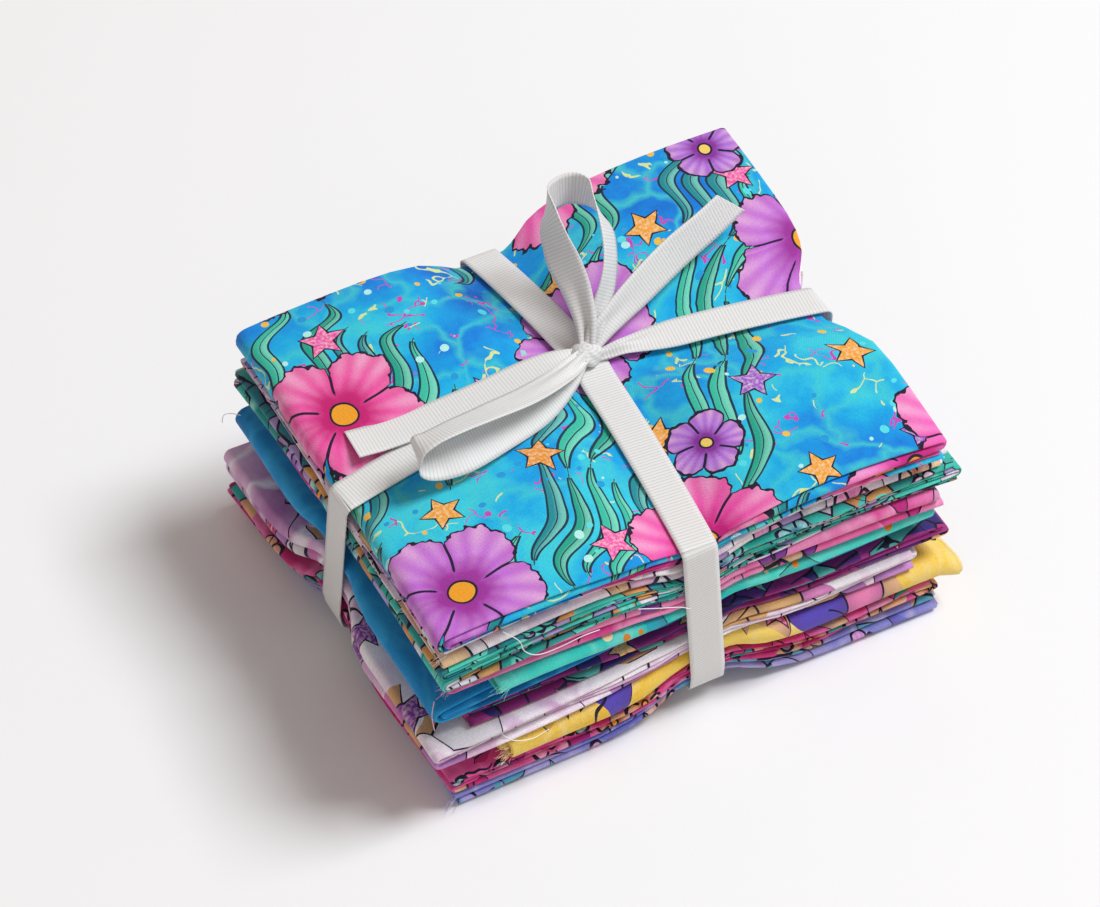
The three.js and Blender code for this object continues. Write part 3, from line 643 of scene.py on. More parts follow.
def leaves(add, under, place, spacing, lean, colours, cover, seed):
    """Long blades in columns that sway together: half width = 0.36 x sine(pi x v)^0.8 of the column.

    v runs from 0 to 1 along a blade. Clumps of them stand on the share of the cloth that cover gives."""
    turned = add("VectorRotate", {"Vector": place, "Angle": lean}, rotation_type="Z_AXIS")
    moved = shifted(add, turned, seed, CELL_STEP, spacing, 0)
    parts = add("SeparateXYZ", (moved,), out=None).outputs
    phase = add("TexNoise", {"Vector": place, "Scale": 0.012, "Detail": 0})
    phase = add("MULTIPLY_ADD", (phase, 9, add("MULTIPLY", (parts[1], 9))))
    sideways = add("MULTIPLY_ADD", (add("SINE", (phase,)), 0.42, parts[0]))
    column = add("FLOOR", (sideways,))
    start = add("TexWhiteNoise", {"W": column}, noise_dimensions="1D")
    along = add("ADD", (parts[1], start))
    row = add("FLOOR", (along,))
    v = add("FRACT", (along,))
    aside = add("SUBTRACT", (add("FRACT", (sideways,)), 0.5))
    far = add("ABSOLUTE", (aside,))
    cell = add("CombineXYZ", (column, row))
    chances = add("TexWhiteNoise", {"Vector": cell}, out=1)
    chances = add("SeparateColor", (chances,), out=None).outputs
    swell = add("SINE", (add("MULTIPLY", (v, math.pi)),))
    half = add("MULTIPLY", (add("POWER", (swell, 0.8)), 0.36))
    depth = add("SUBTRACT", (half, far))
    stretched = add("VectorMath", (cell, (1, 4, 0)), operation="MULTIPLY")
    clump = add("TexNoise", {"Vector": stretched, "Scale": 0.16, "Detail": 0})
    there = add("GREATER_THAN", (clump, blend(0.62, 0.4, cover)))
    inside = where_all(add, add("GREATER_THAN", (depth, 0)), there)
    side = add("MapRange", (aside, -0.12, 0.2, 0, 0.5))
    painted = laid_over(add, picked(add, chances[1], colours), linear(0x9CEFD8), side)
    under = laid_over(add, under, painted, inside)
    line = THIN_INK / spacing[0]
    edge = add("COMPARE", (depth, 0, line))
    body = add("GREATER_THAN", (half, line * 1.5))
    edge = where_all(add, edge, body, there)
    rib = where_all(add, add("LESS_THAN", (far, line * 0.5)), inside)
    return laid_over(add, under, linear(0x14324A), add("MAXIMUM", (edge, rib)))


def patches(add, under, place, cell, colours, cover, ink_width, seed):
    """Uneven painted patches with inked borders, over the share of the cloth that cover gives."""
    moved = shifted(add, place, seed, PATCH_STEP, (cell, cell))
    cells = {"Vector": moved, "Scale": 1, "Randomness": 1}
    tone = add("TexVoronoi", cells, out=1, feature="F1")
    border = add("TexVoronoi", cells, feature="DISTANCE_TO_EDGE")
    chances = add("SeparateColor", (tone,), out=None).outputs
    area = add("TexNoise", {"Vector": moved, "Scale": 0.3, "Detail": 1.5})
    area = add("MULTIPLY_ADD", (chances[1], 0.35, area))
    there = add("GREATER_THAN", (area, blend(0.98, 0.4, cover)))
    soft = add("MapRange", (border, 0, 0.35, 0.35, 0))
    painted = laid_over(add, picked(add, chances[0], colours), linear(0x5A2A68), soft)
    under = laid_over(add, under, painted, there)
    line = add("LESS_THAN", (border, ink_width / cell))
    return laid_over(add, under, INK, where_all(add, line, there))


def drawn_lines(add, under, place, length, width, cover, seed, colour=0x1C1430):
    """Loose drawn curves: borders of wandering cells, kept on part of the cloth."""
    moved = shifted(add, place, seed, LINE_STEP, (length, length))
    wander = add("TexNoise", {"Vector": moved, "Scale": 1.3, "Detail": 1}, out=1)
    wander = add("VectorMath", {0: wander, 3: 1.5}, operation="SCALE")
    moved_off = add("VectorMath", (moved, wander), operation="ADD")
    border = add("TexVoronoi", {"Vector": moved_off, "Scale": 1}, feature="DISTANCE_TO_EDGE")
    area = add("TexNoise", {"Vector": moved, "Scale": 0.9, "Detail": 1})
    line = add("LESS_THAN", (border, width / length))
    there = add("GREATER_THAN", (area, blend(0.72, 0.38, cover)))
    return laid_over(add, under, linear(colour), where_all(add, line, there))


def dots(add, under, place, spacing, size, colours, cover, seed):
    """Round spots, one in each cell."""
    _, radius, chances = scattered(add, place, spacing, seed, 1)
    grown = add("MULTIPLY_ADD", (chances[0], size, size * 0.4))
    spot = add("LESS_THAN", (radius, grown))
    there = add("LESS_THAN", (chances[2], cover))
    return laid_over(add, under, picked(add, chances[1], colours), where_all(add, spot, there))


# Prints: ground colours from deep to pale, the colour of the light streaks in it, then what is printed
# on it from the first colour to the last. Sizes are in millimetres, cover and size shares from 0 to 1:
# flowers: spacing, size, petals, depth, colours, cover, seed, heart
# stars: spacing, size, points, colours, cover, seed
# leaves: spacing both ways, lean, colours, cover, seed
# patches: cell, colours, cover, width of the ink, seed
# drawn lines: length, width, cover, seed, colour
# dots: spacing, size, colours, cover, seed
PRINTS = {
    "azure": ((0x005AC6, 0x0086E2, 0x00ACE8, 0x34D0E6), 0x46D6D0, [
        (drawn_lines, 9, 0.3, 0.3, 5, 0xC84AB8),
        (drawn_lines, 10, 0.35, 0.25, 8, 0xD8E8A0),
        (leaves, (6.4, 36), 0.5, (0x1FA58C, 0x35C0A4, 0x1A8E98), 0.55, 4),
        (dots, 7, 0.13, (0x57E0EA, 0xF5C24A, 0x1A9CDC, 0xB8F2EE), 0.45, 2),
        (stars, 30, 0.2, 5, (0xF2A326, 0x9A5AD0, 0xF054B0, 0xE8921E), 0.6, 7),
        (flowers, 44, 0.23, 5, 0.3, (0xA55AD8, 0xF05AC0, 0x8A5ADC), 0.5, 3, 0xF7D36A),
        (flowers, 64, 0.31, 5, 0.34, (0xF02FA8, 0xF552BC, 0xC060D8, 0xF03CA0), 0.85, 1),
    ]),
    "pale": ((0xCBA8CC, 0xE6D2E2, 0xF5F0F4), 0xFFFFFF, [
        (patches, 9, (0xE8B9D6, 0xF5F2F4, 0xB79AD0, 0xE9C79A, 0xEDE6EE), 0.5, 0.34, 2),
        (flowers, 19, 0.27, 5, 0.36, (0xC88AD8, 0xF0A0D0, 0xF2C890), 0.5, 6, 0xF7D36A),
        (drawn_lines, 16, 0.3, 0.5, 3),
    ]),
    "mint": ((0x15938E, 0x2BB8A8, 0x55D6C4), 0x9BE6D8, [
        (patches, 6.5, (0x2FC0AE, 0xB9A4DC, 0x1A8F98, 0xE6E2EE, 0xD9A05A, 0x27A79C), 0.6, 0.3, 5),
        (flowers, 17, 0.28, 6, 0.36, (0xA98AE0, 0xE6E2EE, 0x58D8D0), 0.45, 2),
        (drawn_lines, 13, 0.3, 0.5, 8),
    ]),
    "pink": ((0xD0308C, 0xE4519F, 0xF08CC0), 0xF7B4D8, [
        (patches, 8, (0xE8569F, 0xF2A8CE, 0x8E3FA8, 0xD82A8A, 0xE9C79A), 0.35, 0.3, 4),
        (drawn_lines, 15, 0.35, 0.35, 2),
    ]),
    "turquoise": ((0x10ADB0, 0x1FCABF, 0x48E0D0), 0x7FEBDD, [
        (patches, 11, (0x23CFC4, 0xA79BDF, 0x19B3C4, 0x3AD9C8), 0.22, 0.25, 9),
        (dots, 7, 0.16, (0xE8B04A, 0xD98A2A, 0xF3E3B4), 0.35, 3),
    ]),
    "blue": ((0x0668B0, 0x0A86CC, 0x1699DC), 0x33B4E6, [
        (patches, 12, (0xC87A4A, 0x1A90CE, 0xE0A878, 0x0A7CC4), 0.12, 0.34, 6),
    ]),
    "plum": ((0x4E1050, 0x7D1C68, 0xA62C86), 0xC04AA0, [
        (patches, 9, (0x8E1F72, 0x2B2C78, 0xC6358F, 0x55C4BC, 0x6A2A86), 0.55, 0.34, 3),
        (stars, 18, 0.25, 5, (0x55C4BC, 0xE0489A, 0xE9A85A), 0.5, 2),
        (drawn_lines, 18, 0.35, 0.35, 6),
    ]),
    "lilac": ((0xB070AC, 0xDCB2D6, 0xF4EEF4), 0xFFFFFF, [
        (patches, 15, (0xE88CCA, 0xE9B878, 0xF4F1F4, 0xC890D0), 0.34, 0.34, 7),
        (stars, 26, 0.22, 5, (0xC01878, 0xD8389A, 0x8A3AA8, 0xC01878), 0.6, 5),
        (drawn_lines, 26, 0.4, 0.3, 4),
    ]),
    "yellow": ((0xE6A83A, 0xF3C63C, 0xF6D568), 0xF8E19A, [
        (patches, 13, (0xF0A6C8, 0xF3C63C, 0xE9B98A, 0x5A4AB8, 0xEC86B8), 0.36, 0.28, 8),
        (stars, 22, 0.22, 5, (0xD8288A, 0x6A3AB0, 0xE0488A, 0xD8288A), 0.55, 4),
        (drawn_lines, 22, 0.4, 0.28, 9),
    ]),
    "magenta": ((0xA81462, 0xD0287C, 0xE2519C), 0xEE8AC0, [
        (patches, 8, (0xD62A80, 0xE9B98A, 0x2FB4AE, 0xB81E8A, 0xEE9AC6), 0.42, 0.28, 6),
        (flowers, 18, 0.28, 5, 0.36, (0x3CC4BC, 0xF09AC8, 0xE9B070), 0.5, 7),
        (drawn_lines, 14, 0.35, 0.5, 5),
    ]),
    "periwinkle": ((0x5E62C0, 0x7C80D6, 0xA6A4E2), 0xCFC9F0, [
        (patches, 9, (0xBDB2EA, 0x6FC6E8, 0x7478D0, 0xE4C39A, 0x58BED8), 0.55, 0.28, 9),
        (flowers, 20, 0.27, 5, 0.36, (0x6FC6E8, 0xD08AE0, 0xE4C39A), 0.45, 4),
        (drawn_lines, 17, 0.3, 0.35, 7),
    ]),
}

# How far the drawing wanders, as by hand
HAND_SWAY = 2.2
# The ground fades from deep to pale and back over this length of the cloth, from this place on
FADE_LENGTH = FLAT_DEPTH / 2
FADE_FROM = 155
# The pale net in the ground: cell, how far its lines wander
NET_CELL = 18
NET_WANDER = 26.0
# Threads are drawn a little coarser than the real 0.35 mm, so that the weave shows
THREAD_PITCH = 0.55


def wave(add, place, pitch):
    """Sine with one turn each pitch."""
    return add("SINE", (add("MULTIPLY", (place, 2 * math.pi / pitch)),))


def cotton(name, side):
    """Plain woven quilting cotton, screen printed on its face; the reverse shows a pale ghost of it.

    Gives the eye saturated matte colour with a fine grain of threads and a soft sheen at folds."""
    ground, streak, printed = PRINTS[name]
    material, add = new_material(f"printed_cotton_{name}_{side}")
    flat = add("UVMap", uv_map="flat")
    place = add("VectorMath", {0: flat, 3: 1 / MM}, operation="SCALE")
    sway = add("TexNoise", {"Vector": place, "Scale": 0.07, "Detail": 1}, out=1)
    sway = add("VectorMath", (sway, (0.5, 0.5, 0.5)), operation="SUBTRACT")
    sway = add("VectorMath", {0: sway, 3: HAND_SWAY}, operation="SCALE")
    drawn = add("VectorMath", (place, sway), operation="ADD")
    wash = add("TexNoise", {"Vector": drawn, "Scale": 0.022, "Detail": 5, "Roughness": 0.6})
    parts = add("SeparateXYZ", (place,), out=None).outputs
    full_turn = 2 * math.pi / FADE_LENGTH
    fade = add("MULTIPLY_ADD", (parts[1], full_turn, -full_turn * FADE_FROM))
    fade = add("MULTIPLY_ADD", (add("COSINE", (fade,)), 0.3, 0.08))
    wash = add("MapRange", (wash, 0.3, 0.7, 0, 0.85))
    wash = add("ADD", (wash, fade), use_clamp=True)
    stops = [(0.05 + 0.9 * n / (len(ground) - 1), colour) for n, colour in enumerate(ground)]
    colour = add("ValToRGB", (wash,), stops=stops)
    wander = add("TexNoise", {"Vector": place, "Scale": 0.05, "Detail": 3}, out=1)
    wander = add("VectorMath", {0: wander, 3: NET_WANDER}, operation="SCALE")
    wander = add("VectorMath", (place, wander), operation="ADD")
    net = add("TexVoronoi", {"Vector": wander, "Scale": 1 / NET_CELL}, feature="DISTANCE_TO_EDGE")
    net = add("MapRange", (net, 0.0, 0.15, 0.95, 0))
    net = add("MULTIPLY", (net, add("MULTIPLY_ADD", (wash, -0.55, 0.95))))
    colour = laid_over(add, colour, linear(streak), net)
    if side == "face":
        for motif, *sizes in printed:
            colour = motif(add, colour, drawn, *sizes)
    else:
        colour = patches(add, colour, drawn, cell=14, colours=ground[:3] + (streak,), cover=0.4,
                         ink_width=0.1, seed=3)
        colour = laid_over(add, colour, linear(0xF2EFF0), 0.35)
    weave = add("MULTIPLY", (wave(add, parts[0], THREAD_PITCH), wave(add, parts[1], THREAD_PITCH)))
    fuzz = add("TexNoise", {"Vector": place, "Scale": 1.6, "Detail": 3})
    grain = add("MULTIPLY_ADD", (weave, 0.5, fuzz))
    tone = add("MapRange", (grain, 0, 1, 0.85, 1.13))
    colour = add("VectorMath", {0: colour, 3: tone}, operation="SCALE")
    bump = add("Bump", {"Strength": 0.5, "Distance": 0.12 * MM, "Height": grain})
    shader = add("BsdfPrincipled", {"Base Color": colour, "Roughness": 0.82, "Specular IOR Level": 0.3,
                                    "Sheen Weight": 0.12, "Sheen Roughness": 0.5, "Normal": bump})
    add("OutputMaterial", (shader,), out=None)
    return material


def cotton_thread(name):
    """Single cotton yarn in the palest colour of its cloth, mixed towards white; a dull fuzzy line."""
    material, add = new_material(f"cotton_yarn_{name}")
    colour = laid_over(add, linear(PRINTS[name][0][-1]), linear(0xF4F2F4), 0.4)
    shader = add("BsdfPrincipled", {"Base Color": colour, "Roughness": 0.85, "Sheen Weight": 0.2})
    add("OutputMaterial", (shader,), out=None)
    return material


def grosgrain():
    """Polyester grosgrain woven with thick wefts; fine crosswise lines of painted shade grey the rib
    grooves.
    """
    material, add = new_material("woven_polyester_grosgrain")
    flat = add("UVMap", uv_map="flat")
    place = add("VectorMath", {0: flat, 3: 1 / MM}, operation="SCALE")
    parts = add("SeparateXYZ", (place,), out=None).outputs
    rib = add("ABSOLUTE", (wave(add, parts[0], 2 * RIB_PITCH),))
    fuzz = add("TexNoise", {"Vector": flat, "Scale": 900, "Detail": 2}, noise_dimensions="3D")
    # Painted shade: the colour is grey in the grooves between the ribs and pale on their crests
    colour = add("ValToRGB", (rib,), stops=[(0, 0xD2D3D3), (0.4, 0xEFEFEE), (1, 0xF7F7F5)])
    colour = laid_over(add, colour, fuzz, 0.25, "SOFT_LIGHT")
    threads = add("MULTIPLY_ADD", (wave(add, parts[1], RIBBON_THREAD_PITCH), 0.12, rib))
    bump = add("Bump", {"Strength": 0.3, "Distance": 0.1 * MM, "Height": threads})
    shader = add("BsdfPrincipled", {"Base Color": colour, "Roughness": 0.5, "Specular IOR Level": 0.4,
                                    "Sheen Weight": 0.15, "Normal": bump})
    through = add("BsdfTranslucent", {"Color": linear(0xEFF0EF), "Normal": bump})
    shader = add("MixShader", (0.15, shader, through))
    add("OutputMaterial", (shader,), out=None)
    return material


# Ribbon


def spline(rows, step):
    """Catmull-Rom curve through the rows, with a point each step along it."""
    ends = np.vstack([2 * rows[0] - rows[1], rows, 2 * rows[-1] - rows[-2]])
    t = np.linspace(0, 1, 40, endpoint=False)[:, None]
    spans = []
    for n in range(1, len(ends) - 2):
        a, b, c, d = ends[n - 1], ends[n], ends[n + 1], ends[n + 2]
        square, cube = 2 * a - 5 * b + 4 * c - d, 3 * b - a - 3 * c + d
        spans.append(0.5 * (2 * b + (c - a) * t + square * t**2 + cube * t**3))
    return even_steps(np.vstack([*spans, rows[-1:]]), step)


def even_steps(rows, step):
    """The same line with points at even steps of its length, worked out from its first three columns."""
    run = np.concatenate([[0], np.cumsum(np.linalg.norm(np.diff(rows[:, :3], axis=0), axis=1))])
    places = np.linspace(0, run[-1], int(run[-1] / step) + 1)
    return np.stack([np.interp(places, run, column) for column in rows.T], -1)


def soften(rows, reach, step):
    """Running mean over the reach, which rounds the corners of a line; closed lines stay closed."""
    count = max(int(reach / step), 1)
    window = np.ones(2 * count + 1) / (2 * count + 1)
    padded = np.vstack([rows[-count - 1:-1], rows, rows[1:count + 1]])
    return np.stack([np.convolve(column, window, "valid") for column in padded.T], -1)


def band(rows):
    """Ribbon carried along rows of place, width direction and share of the width spread out.

    Across the width w from -1 to 1 the band is w x half x share, and what is gathered stands off as
    an arch. Ribs are a rectified sine along the length that fades at the woven edges."""
    place, wide, share = rows[:, :3], rows[:, 3:6], rows[:, 6:7]
    tangent = np.gradient(place, axis=0)
    tangent = tangent / np.linalg.norm(tangent, axis=1, keepdims=True)
    wide = wide - tangent * np.sum(wide * tangent, axis=1, keepdims=True)
    wide = wide / np.linalg.norm(wide, axis=1, keepdims=True)
    normal = np.cross(tangent, wide)
    w = np.linspace(-1, 1, BAND_COLUMNS)[None, :]
    run = np.arange(len(place))[:, None] * STEP
    rib = RIB_DEPTH * np.abs(np.sin(math.pi * run / RIB_PITCH)) * (1 - np.abs(w) ** 12)
    gathered = np.sqrt(np.clip(1 - share**2, 0, 1)) * RIBBON_WIDTH / 2
    stand = rib + gathered * 0.5 * (np.cos(w * math.pi * 1.5) * 0.5 + 0.2) * (1 - share) * 2
    points = (place[:, None, :] + wide[:, None, :] * (w * RIBBON_WIDTH / 2 * share)[..., None]
              + normal[:, None, :] * stand[..., None])
    flat = np.stack(np.broadcast_arrays(run, w * RIBBON_WIDTH / 2), -1)
    return points, flat


def slant_end(points, flat, cut):
    """Trims a band's end at a slant: the column at w, from -1 to 1, ends at length - cut x (1 - w)."""
    rows, columns = flat.shape[:2]
    w = np.linspace(-1, 1, columns)[None, :]
    place = np.arange(rows)[:, None] * (1 - cut * (1 - w) / ((rows - 1) * STEP))
    low = np.minimum(place.astype(int), rows - 2)
    part = (place - low)[..., None]
    column = np.arange(columns)[None, :]
    return [blend(grid[low, column], grid[low + 1, column], part) for grid in (points, flat)]


def band_wrap(lengthwise):
    """One band round the stack: over the top in its trough, down, under, and up again.

    Its foot turns in by the tuck below the height from which it does, and all corners are rounded by a
    running mean. The crosswise band is gathered towards the knot."""
    sides, upper, under, knot, order, lap = (
        ("front", "back"), LENGTHWISE_TOP, LENGTHWISE_LOW, KNOT[1], 1, 0) if lengthwise else (
        ("left", "right"), CROSSWISE_TOP, CROSSWISE_LOW, KNOT[0], -1, BAND_LAP)
    low, high = [RIBBON_LIMIT[side] for side in sides]
    v = np.linspace(low, high, BAND_POINTS)
    aside = np.interp(v, (low, knot, high), upper)
    lower = np.interp(v, (low, high), under)
    edges = np.array([-0.5, 0, 0.5])[:, None] * RIBBON_WIDTH
    over = stack_top(*(aside + edges, v + 0 * edges)[::order]).max(0)
    below = stack_bottom(*(lower + edges, v + 0 * edges)[::order]).min(0)
    over = over - PIECE_GAP / 2 + STAND_OFF + lap * np.exp(-(((v - knot) / LAP_REACH) ** 2))
    below = np.maximum(below - STAND_OFF, RIBBON_THICK) + lap * 0.6 * np.exp(-((v / LAP_REACH) ** 2))
    out = STAND_OFF
    kept = (v > low + TUCK) & (v < high - TUCK)
    back, front = below[kept][-1], below[kept][0]
    along = [v, [high + out, high + out, high + out - TUCK], v[kept][::-1],
             [low - out + TUCK, low - out, low - out, v[0]]]
    part = TUCK_FROM / (over[-1] - back)
    sideways = [aside, [upper[2], blend(under[1], upper[2], part), under[1]], lower[kept][::-1],
                [under[0], blend(under[0], upper[0], part), upper[0], aside[0]]]
    height = [over, [over[-1] - out, back + TUCK_FROM, back + out], below[kept][::-1],
              [front + out, front + TUCK_FROM, over[0] - out, over[0]]]
    along, sideways, height = (np.concatenate(column) for column in (along, sideways, height))
    rows = np.stack([*(sideways, along)[::order], height], -1)
    rows = even_steps(soften(even_steps(rows, BEND_STEP), BEND_REACH, BEND_STEP), STEP)
    wide = np.array([1, 0, 0] if lengthwise else [0, 1, 0]) + 0 * rows
    share = np.ones((len(rows), 1))
    if not lengthwise:
        on_top = rows[:, 2:3] > CORNER_HEIGHT[0] / 2
        from_knot = np.abs(rows[:, :1] - knot)
        share = np.where(on_top, blend(GATHERED_SHARE, 1, ease(1, GATHER_REACH, from_knot)), 1)
    return np.hstack([rows, wide, share])


def raised(turn, lean):
    """Unit vector to the front, turned about the upright and raised by the lean."""
    return np.array([math.sin(turn) * math.cos(lean), -math.cos(turn) * math.cos(lean), math.sin(lean)])


def bow_axes():
    """Unit vectors of the bow's frame: side, rise, near."""
    side = np.array([math.cos(BOW_TURN), math.sin(BOW_TURN), 0])
    near = raised(BOW_TURN, BOW_LEAN)
    return np.stack([side, np.cross(near, side), near])


def knot_centre():
    """Over the crossing of the bands."""
    return np.array([*KNOT, float(stack_top(*np.array(KNOT))) + STAND_OFF + KNOT_RISE])


def bow_rows(table):
    """A table in the bow's frame turned to place, width direction and share, at even steps."""
    axes = bow_axes()
    rows = np.hstack([table[:, :3] @ axes + knot_centre(), table[:, 3:6] @ axes, table[:, 6:7]])
    return spline(rows, STEP)


def lying_tail_rows():
    """Left tail over the crosswise band, at its table's height over the cloth."""
    x, y = KNOT[0] + LYING_TAIL[:, 0], KNOT[1] + LYING_TAIL[:, 1]
    z = stack_top(x, crosswise_y(x)) + STAND_OFF + LYING_TAIL[:, 2]
    wide = np.array([[0, 1, 0]]) + 0 * LYING_TAIL[:, :1]
    return spline(np.hstack([np.stack([x, y, z], -1), wide, LYING_TAIL[:, 3:4]]), STEP)


def knot_points():
    """Ellipsoid with gathers: radius x (1 + a coarse and a fine sine of the turn and the rise together)."""
    turn = np.linspace(0, 2 * math.pi, 65)[:, None]
    rise = np.linspace(-math.pi / 2, math.pi / 2, 33)[None, :]
    gather = 1 + 0.1 * np.sin(3 * turn + 2.5 * np.sin(rise)) * np.cos(rise) ** 2
    gather = gather + 0.035 * np.sin(8 * turn + 4 * rise) * np.cos(rise)
    local = np.stack(np.broadcast_arrays(
        KNOT_RADIUS[0] * gather * np.cos(turn) * np.cos(rise),
        KNOT_RADIUS[1] * gather * np.sin(turn) * np.cos(rise),
        KNOT_RADIUS[2] * gather * np.sin(rise)), -1)
    cosine, sine = math.cos(BOW_TURN), math.sin(BOW_TURN)
    axes = np.array([[cosine, sine, 0], [-sine, cosine, 0], [0, 0, 1]])
    flat = np.stack(np.broadcast_arrays(3 * rise, 3 * turn), -1)
    return local @ axes + knot_centre(), flat


def tie_ribbon(material):
    """The ribbon: two bands, two loops, two tails and the knot as one mesh."""
    strips = [band(rows) for rows in (
        band_wrap(True), band_wrap(False), bow_rows(STANDING_LOOP), bow_rows(LYING_LOOP), lying_tail_rows())]
    strips += [slant_end(*band(bow_rows(RISING_TAIL)), TAIL_CUT), knot_points()]
    points, flats, faces, first = [], [], [], 0
    for place, flat in strips:
        rows, columns = place.shape[:2]
        faces.append(grid_faces(rows, columns) + first)
        points.append(place.reshape(-1, 3))
        flats.append(flat.reshape(-1, 2))
        first += rows * columns
    made = new_object("ribbon", np.vstack(points), np.vstack(faces), np.vstack(flats), [material])
    give_thickness(made, RIBBON_THICK)
    made.modifiers["thickness"].material_offset = 0
    return made


# Threads

# Single threads: cloth they come from, then X, Y, Z of points along them
STRAY_THREADS = [
    ("pale", [(-55.5, -58.6, 58.6), (-52, -60.2, 55), (-51, -61, 51.6), (-47.6, -61.2, 48.6),
              (-42, -61, 47.8), (-35, -60.8, 48.2), (-30, -60, 47)]),
    ("pale", [(-19, -59.4, 48), (-14, -60.4, 46.6), (-8, -60.6, 44), (-4.6, -60, 41)]),
    ("lilac", [(-73, 55, 38.6), (-74.6, 58, 37.4), (-75.6, 60.6, 34.8), (-75.8, 61.6, 31.4)]),
    ("lilac", [(-57, -59.6, 22.6), (-54, -60.8, 19.6), (-49, -61.2, 18), (-44, -60.4, 17.8)]),
    ("pink", [(-72, -54, 37.4), (-73.4, -55.4, 34), (-73.8, -57.4, 31)]),
]
# Frayed ends at the front left of a piece: number of the piece, X and Y, and how many fibres
FRAYED_ENDS = [
    (4, (-55.2, -59), 44),
    (3, (-69.2, -56.4), 30),
    (8, (-55.6, -60.2), 30),
    (10, (-69.2, -58), 34),
    (1, (-70.2, -56.9), 24),
]
THREAD_RADIUS = 0.11
FIBRE_RADIUS = 0.045
FIBRE_LENGTH = (0.9, 2.6)


def tube(line, radius):
    """Round thread along a line: six points round each place, square to the line."""
    tangent = np.gradient(line, axis=0)
    tangent = tangent / np.linalg.norm(tangent, axis=1, keepdims=True)
    first = np.cross(tangent, (0.3, 0.1, 1))
    first = first / np.linalg.norm(first, axis=1, keepdims=True)
    second = np.cross(tangent, first)
    turn = np.linspace(0, 2 * math.pi, 7)[None, :, None]
    around = np.cos(turn) * first[:, None, :] + np.sin(turn) * second[:, None, :]
    return line[:, None, :] + radius * around


def fibre_lines(level, place, count):
    """Short fibres that leave a raw end to the left: start + length x (t x direction + t^2 x curl)."""
    rng = np.random.default_rng(level)
    x = place[0] + rng.uniform(-0.2, 1, count)
    y = place[1] + rng.uniform(-0.6, 1.6, count)
    share = rng.uniform(0.15, 0.85, count)
    z = blend(face_between(level + 1, x, y), face_between(level, x, y), share)
    start = np.stack([x, y, z], -1)
    direction = rng.normal((-1, -0.25, 0), (0.2, 0.25, 0.2), (count, 3))
    curl = rng.normal((0, 0, -0.2), 0.25, (count, 3))
    reach = rng.uniform(*FIBRE_LENGTH, (count, 1, 1))
    t = np.linspace(0, 1, 6)[None, :, None]
    return start[:, None, :] + reach * (t * direction[:, None, :] + t**2 * curl[:, None, :])


def loose_threads(names):
    """All stray threads and frayed ends as one mesh, each in the colour of its cloth."""
    tubes = [(name, tube(spline(np.array(line), 0.8), THREAD_RADIUS)) for name, line in STRAY_THREADS]
    for level, place, count in FRAYED_ENDS:
        cloth = PIECES[level]["name"]
        tubes += [(cloth, tube(line, FIBRE_RADIUS)) for line in fibre_lines(level, place, count)]
    materials = [cotton_thread(name) for name in names]
    points, faces, which, first = [], [], [], 0
    for name, place in tubes:
        quads = grid_faces(*place.shape[:2])
        faces.append(quads + first)
        points.append(place.reshape(-1, 3))
        which.append(np.full(len(quads), names.index(name)))
        first += place.shape[0] * place.shape[1]
    points = np.vstack(points)
    made = new_object("loose_threads", points, np.vstack(faces), points[:, :2], materials)
    made.data.polygons.foreach_set("material_index", np.concatenate(which).astype(np.int32))
    return made


# Camera, floor and light

FLOOR_HALF = 3000
# The lights look at this height of the stack, in metres
LIT_HEIGHT = 0.03
ROOM_COLOUR = 0xFFF0E6
ROOM_STRENGTH = 0.34


def set_camera():
    """Camera at the photograph's angle, looking at the middle of the stack."""
    data = bpy.data.cameras.new("camera")
    data.sensor_fit = "HORIZONTAL"
    data.sensor_width = SENSOR_WIDTH
    data.lens = CAMERA_LENS
    data.clip_start, data.clip_end = CAMERA_CLIP
    camera = bpy.data.objects.new("camera", data)
    camera.location = (np.array(CAMERA_TARGET) + raised(CAMERA_TURN, CAMERA_TILT) * CAMERA_AWAY) * MM
    camera.rotation_euler = (math.pi / 2 - CAMERA_TILT, 0, CAMERA_TURN)
    bpy.context.scene.collection.objects.link(camera)
    bpy.context.scene.camera = camera


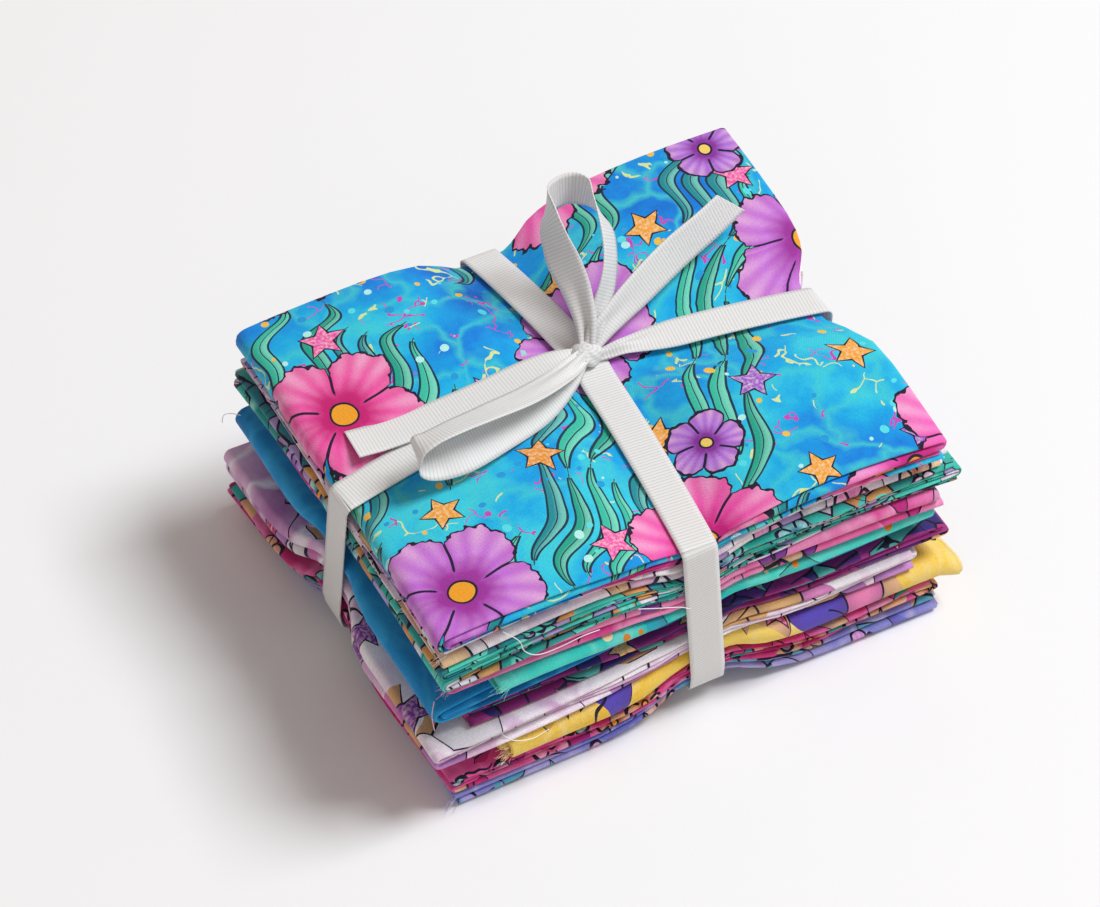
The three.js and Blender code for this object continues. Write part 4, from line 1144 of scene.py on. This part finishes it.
def set_floor():
    """Plain matt white board that the bundle lies on; it gives a soft shadow and a faintly uneven white."""
    half = FLOOR_HALF
    points = np.array([(-half, -half, 0), (half, -half, 0), (half, half, 0), (-half, half, 0)], float)
    material, add = new_material("floor_matte_white_board")
    flat = add("UVMap", uv_map="flat")
    noise = add("TexNoise", {"Vector": flat, "Scale": 0.5, "Detail": 2}, noise_dimensions="3D")
    colour = add("ValToRGB", (noise,), stops=[(0.3, 0xF5F7F8), (0.7, 0xF8F9FA)])
    shader = add("BsdfPrincipled", {"Base Color": colour, "Roughness": 0.7, "Specular IOR Level": 0.2})
    add("OutputMaterial", (shader,), out=None)
    floor = new_object("floor", points, np.array([(0, 1, 2, 3)]), points[:, :2], [material])


def set_light(name, place, size, power, colour):
    """Square soft light that looks at the stack; its place and size are in metres, its power in watts."""
    data = bpy.data.lights.new(name, "AREA")
    data.size = size
    data.energy = power
    data.color = linear(colour)[:3]
    lamp = bpy.data.objects.new(name, data)
    place = np.array(place, float)
    lamp.location = place
    away = place - np.array([0, 0, LIT_HEIGHT])
    lamp.rotation_euler = (math.acos(away[2] / np.linalg.norm(away)), 0, math.atan2(away[0], -away[1]))
    bpy.context.scene.collection.objects.link(lamp)


def set_stage():
    """Soft key from the right and above, weak fill, pale room."""
    set_floor()
    set_light("key", place=(1.3, -0.42, 2.25), size=1.0, power=58, colour=0xF9FCFF)
    set_light("fill", place=(-0.9, -0.9, 0.9), size=1.0, power=1.2, colour=0xFFF8F2)
    world = bpy.data.worlds.new("room")
    world.use_nodes = True
    room = world.node_tree.nodes["Background"].inputs
    room["Color"].default_value = linear(ROOM_COLOUR)
    room["Strength"].default_value = ROOM_STRENGTH
    bpy.context.scene.world = world
    bpy.context.scene.view_settings.view_transform = "Standard"


set_camera()
set_stage()

ribbon = tie_ribbon(grosgrain())
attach(ribbon, "root")
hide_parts("ribbon_tie")

threads = loose_threads(["pale", "pink", "turquoise", "lilac", "yellow", "periwinkle"])
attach(threads, "root")

for level, piece in enumerate(PIECES):
    points, flat = fat_quarter_points(piece, level)
    flip = (piece["lead_across"] > 0) == (piece["run"] == "x")
    faces = grid_faces(*points.shape[:2], flip)
    quarter = new_object(f"quarter_{level + 1:02d}_{piece['name']}", points, faces, flat,
                         [cotton(piece["name"], "face"), cotton(piece["name"], "reverse")])
    give_thickness(quarter, CLOTH_THICK)
    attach(quarter, "root")
    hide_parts(f"fat_quarter_{level + 1:02d}_{piece['name']}")

bpy.context.view_layer.update()
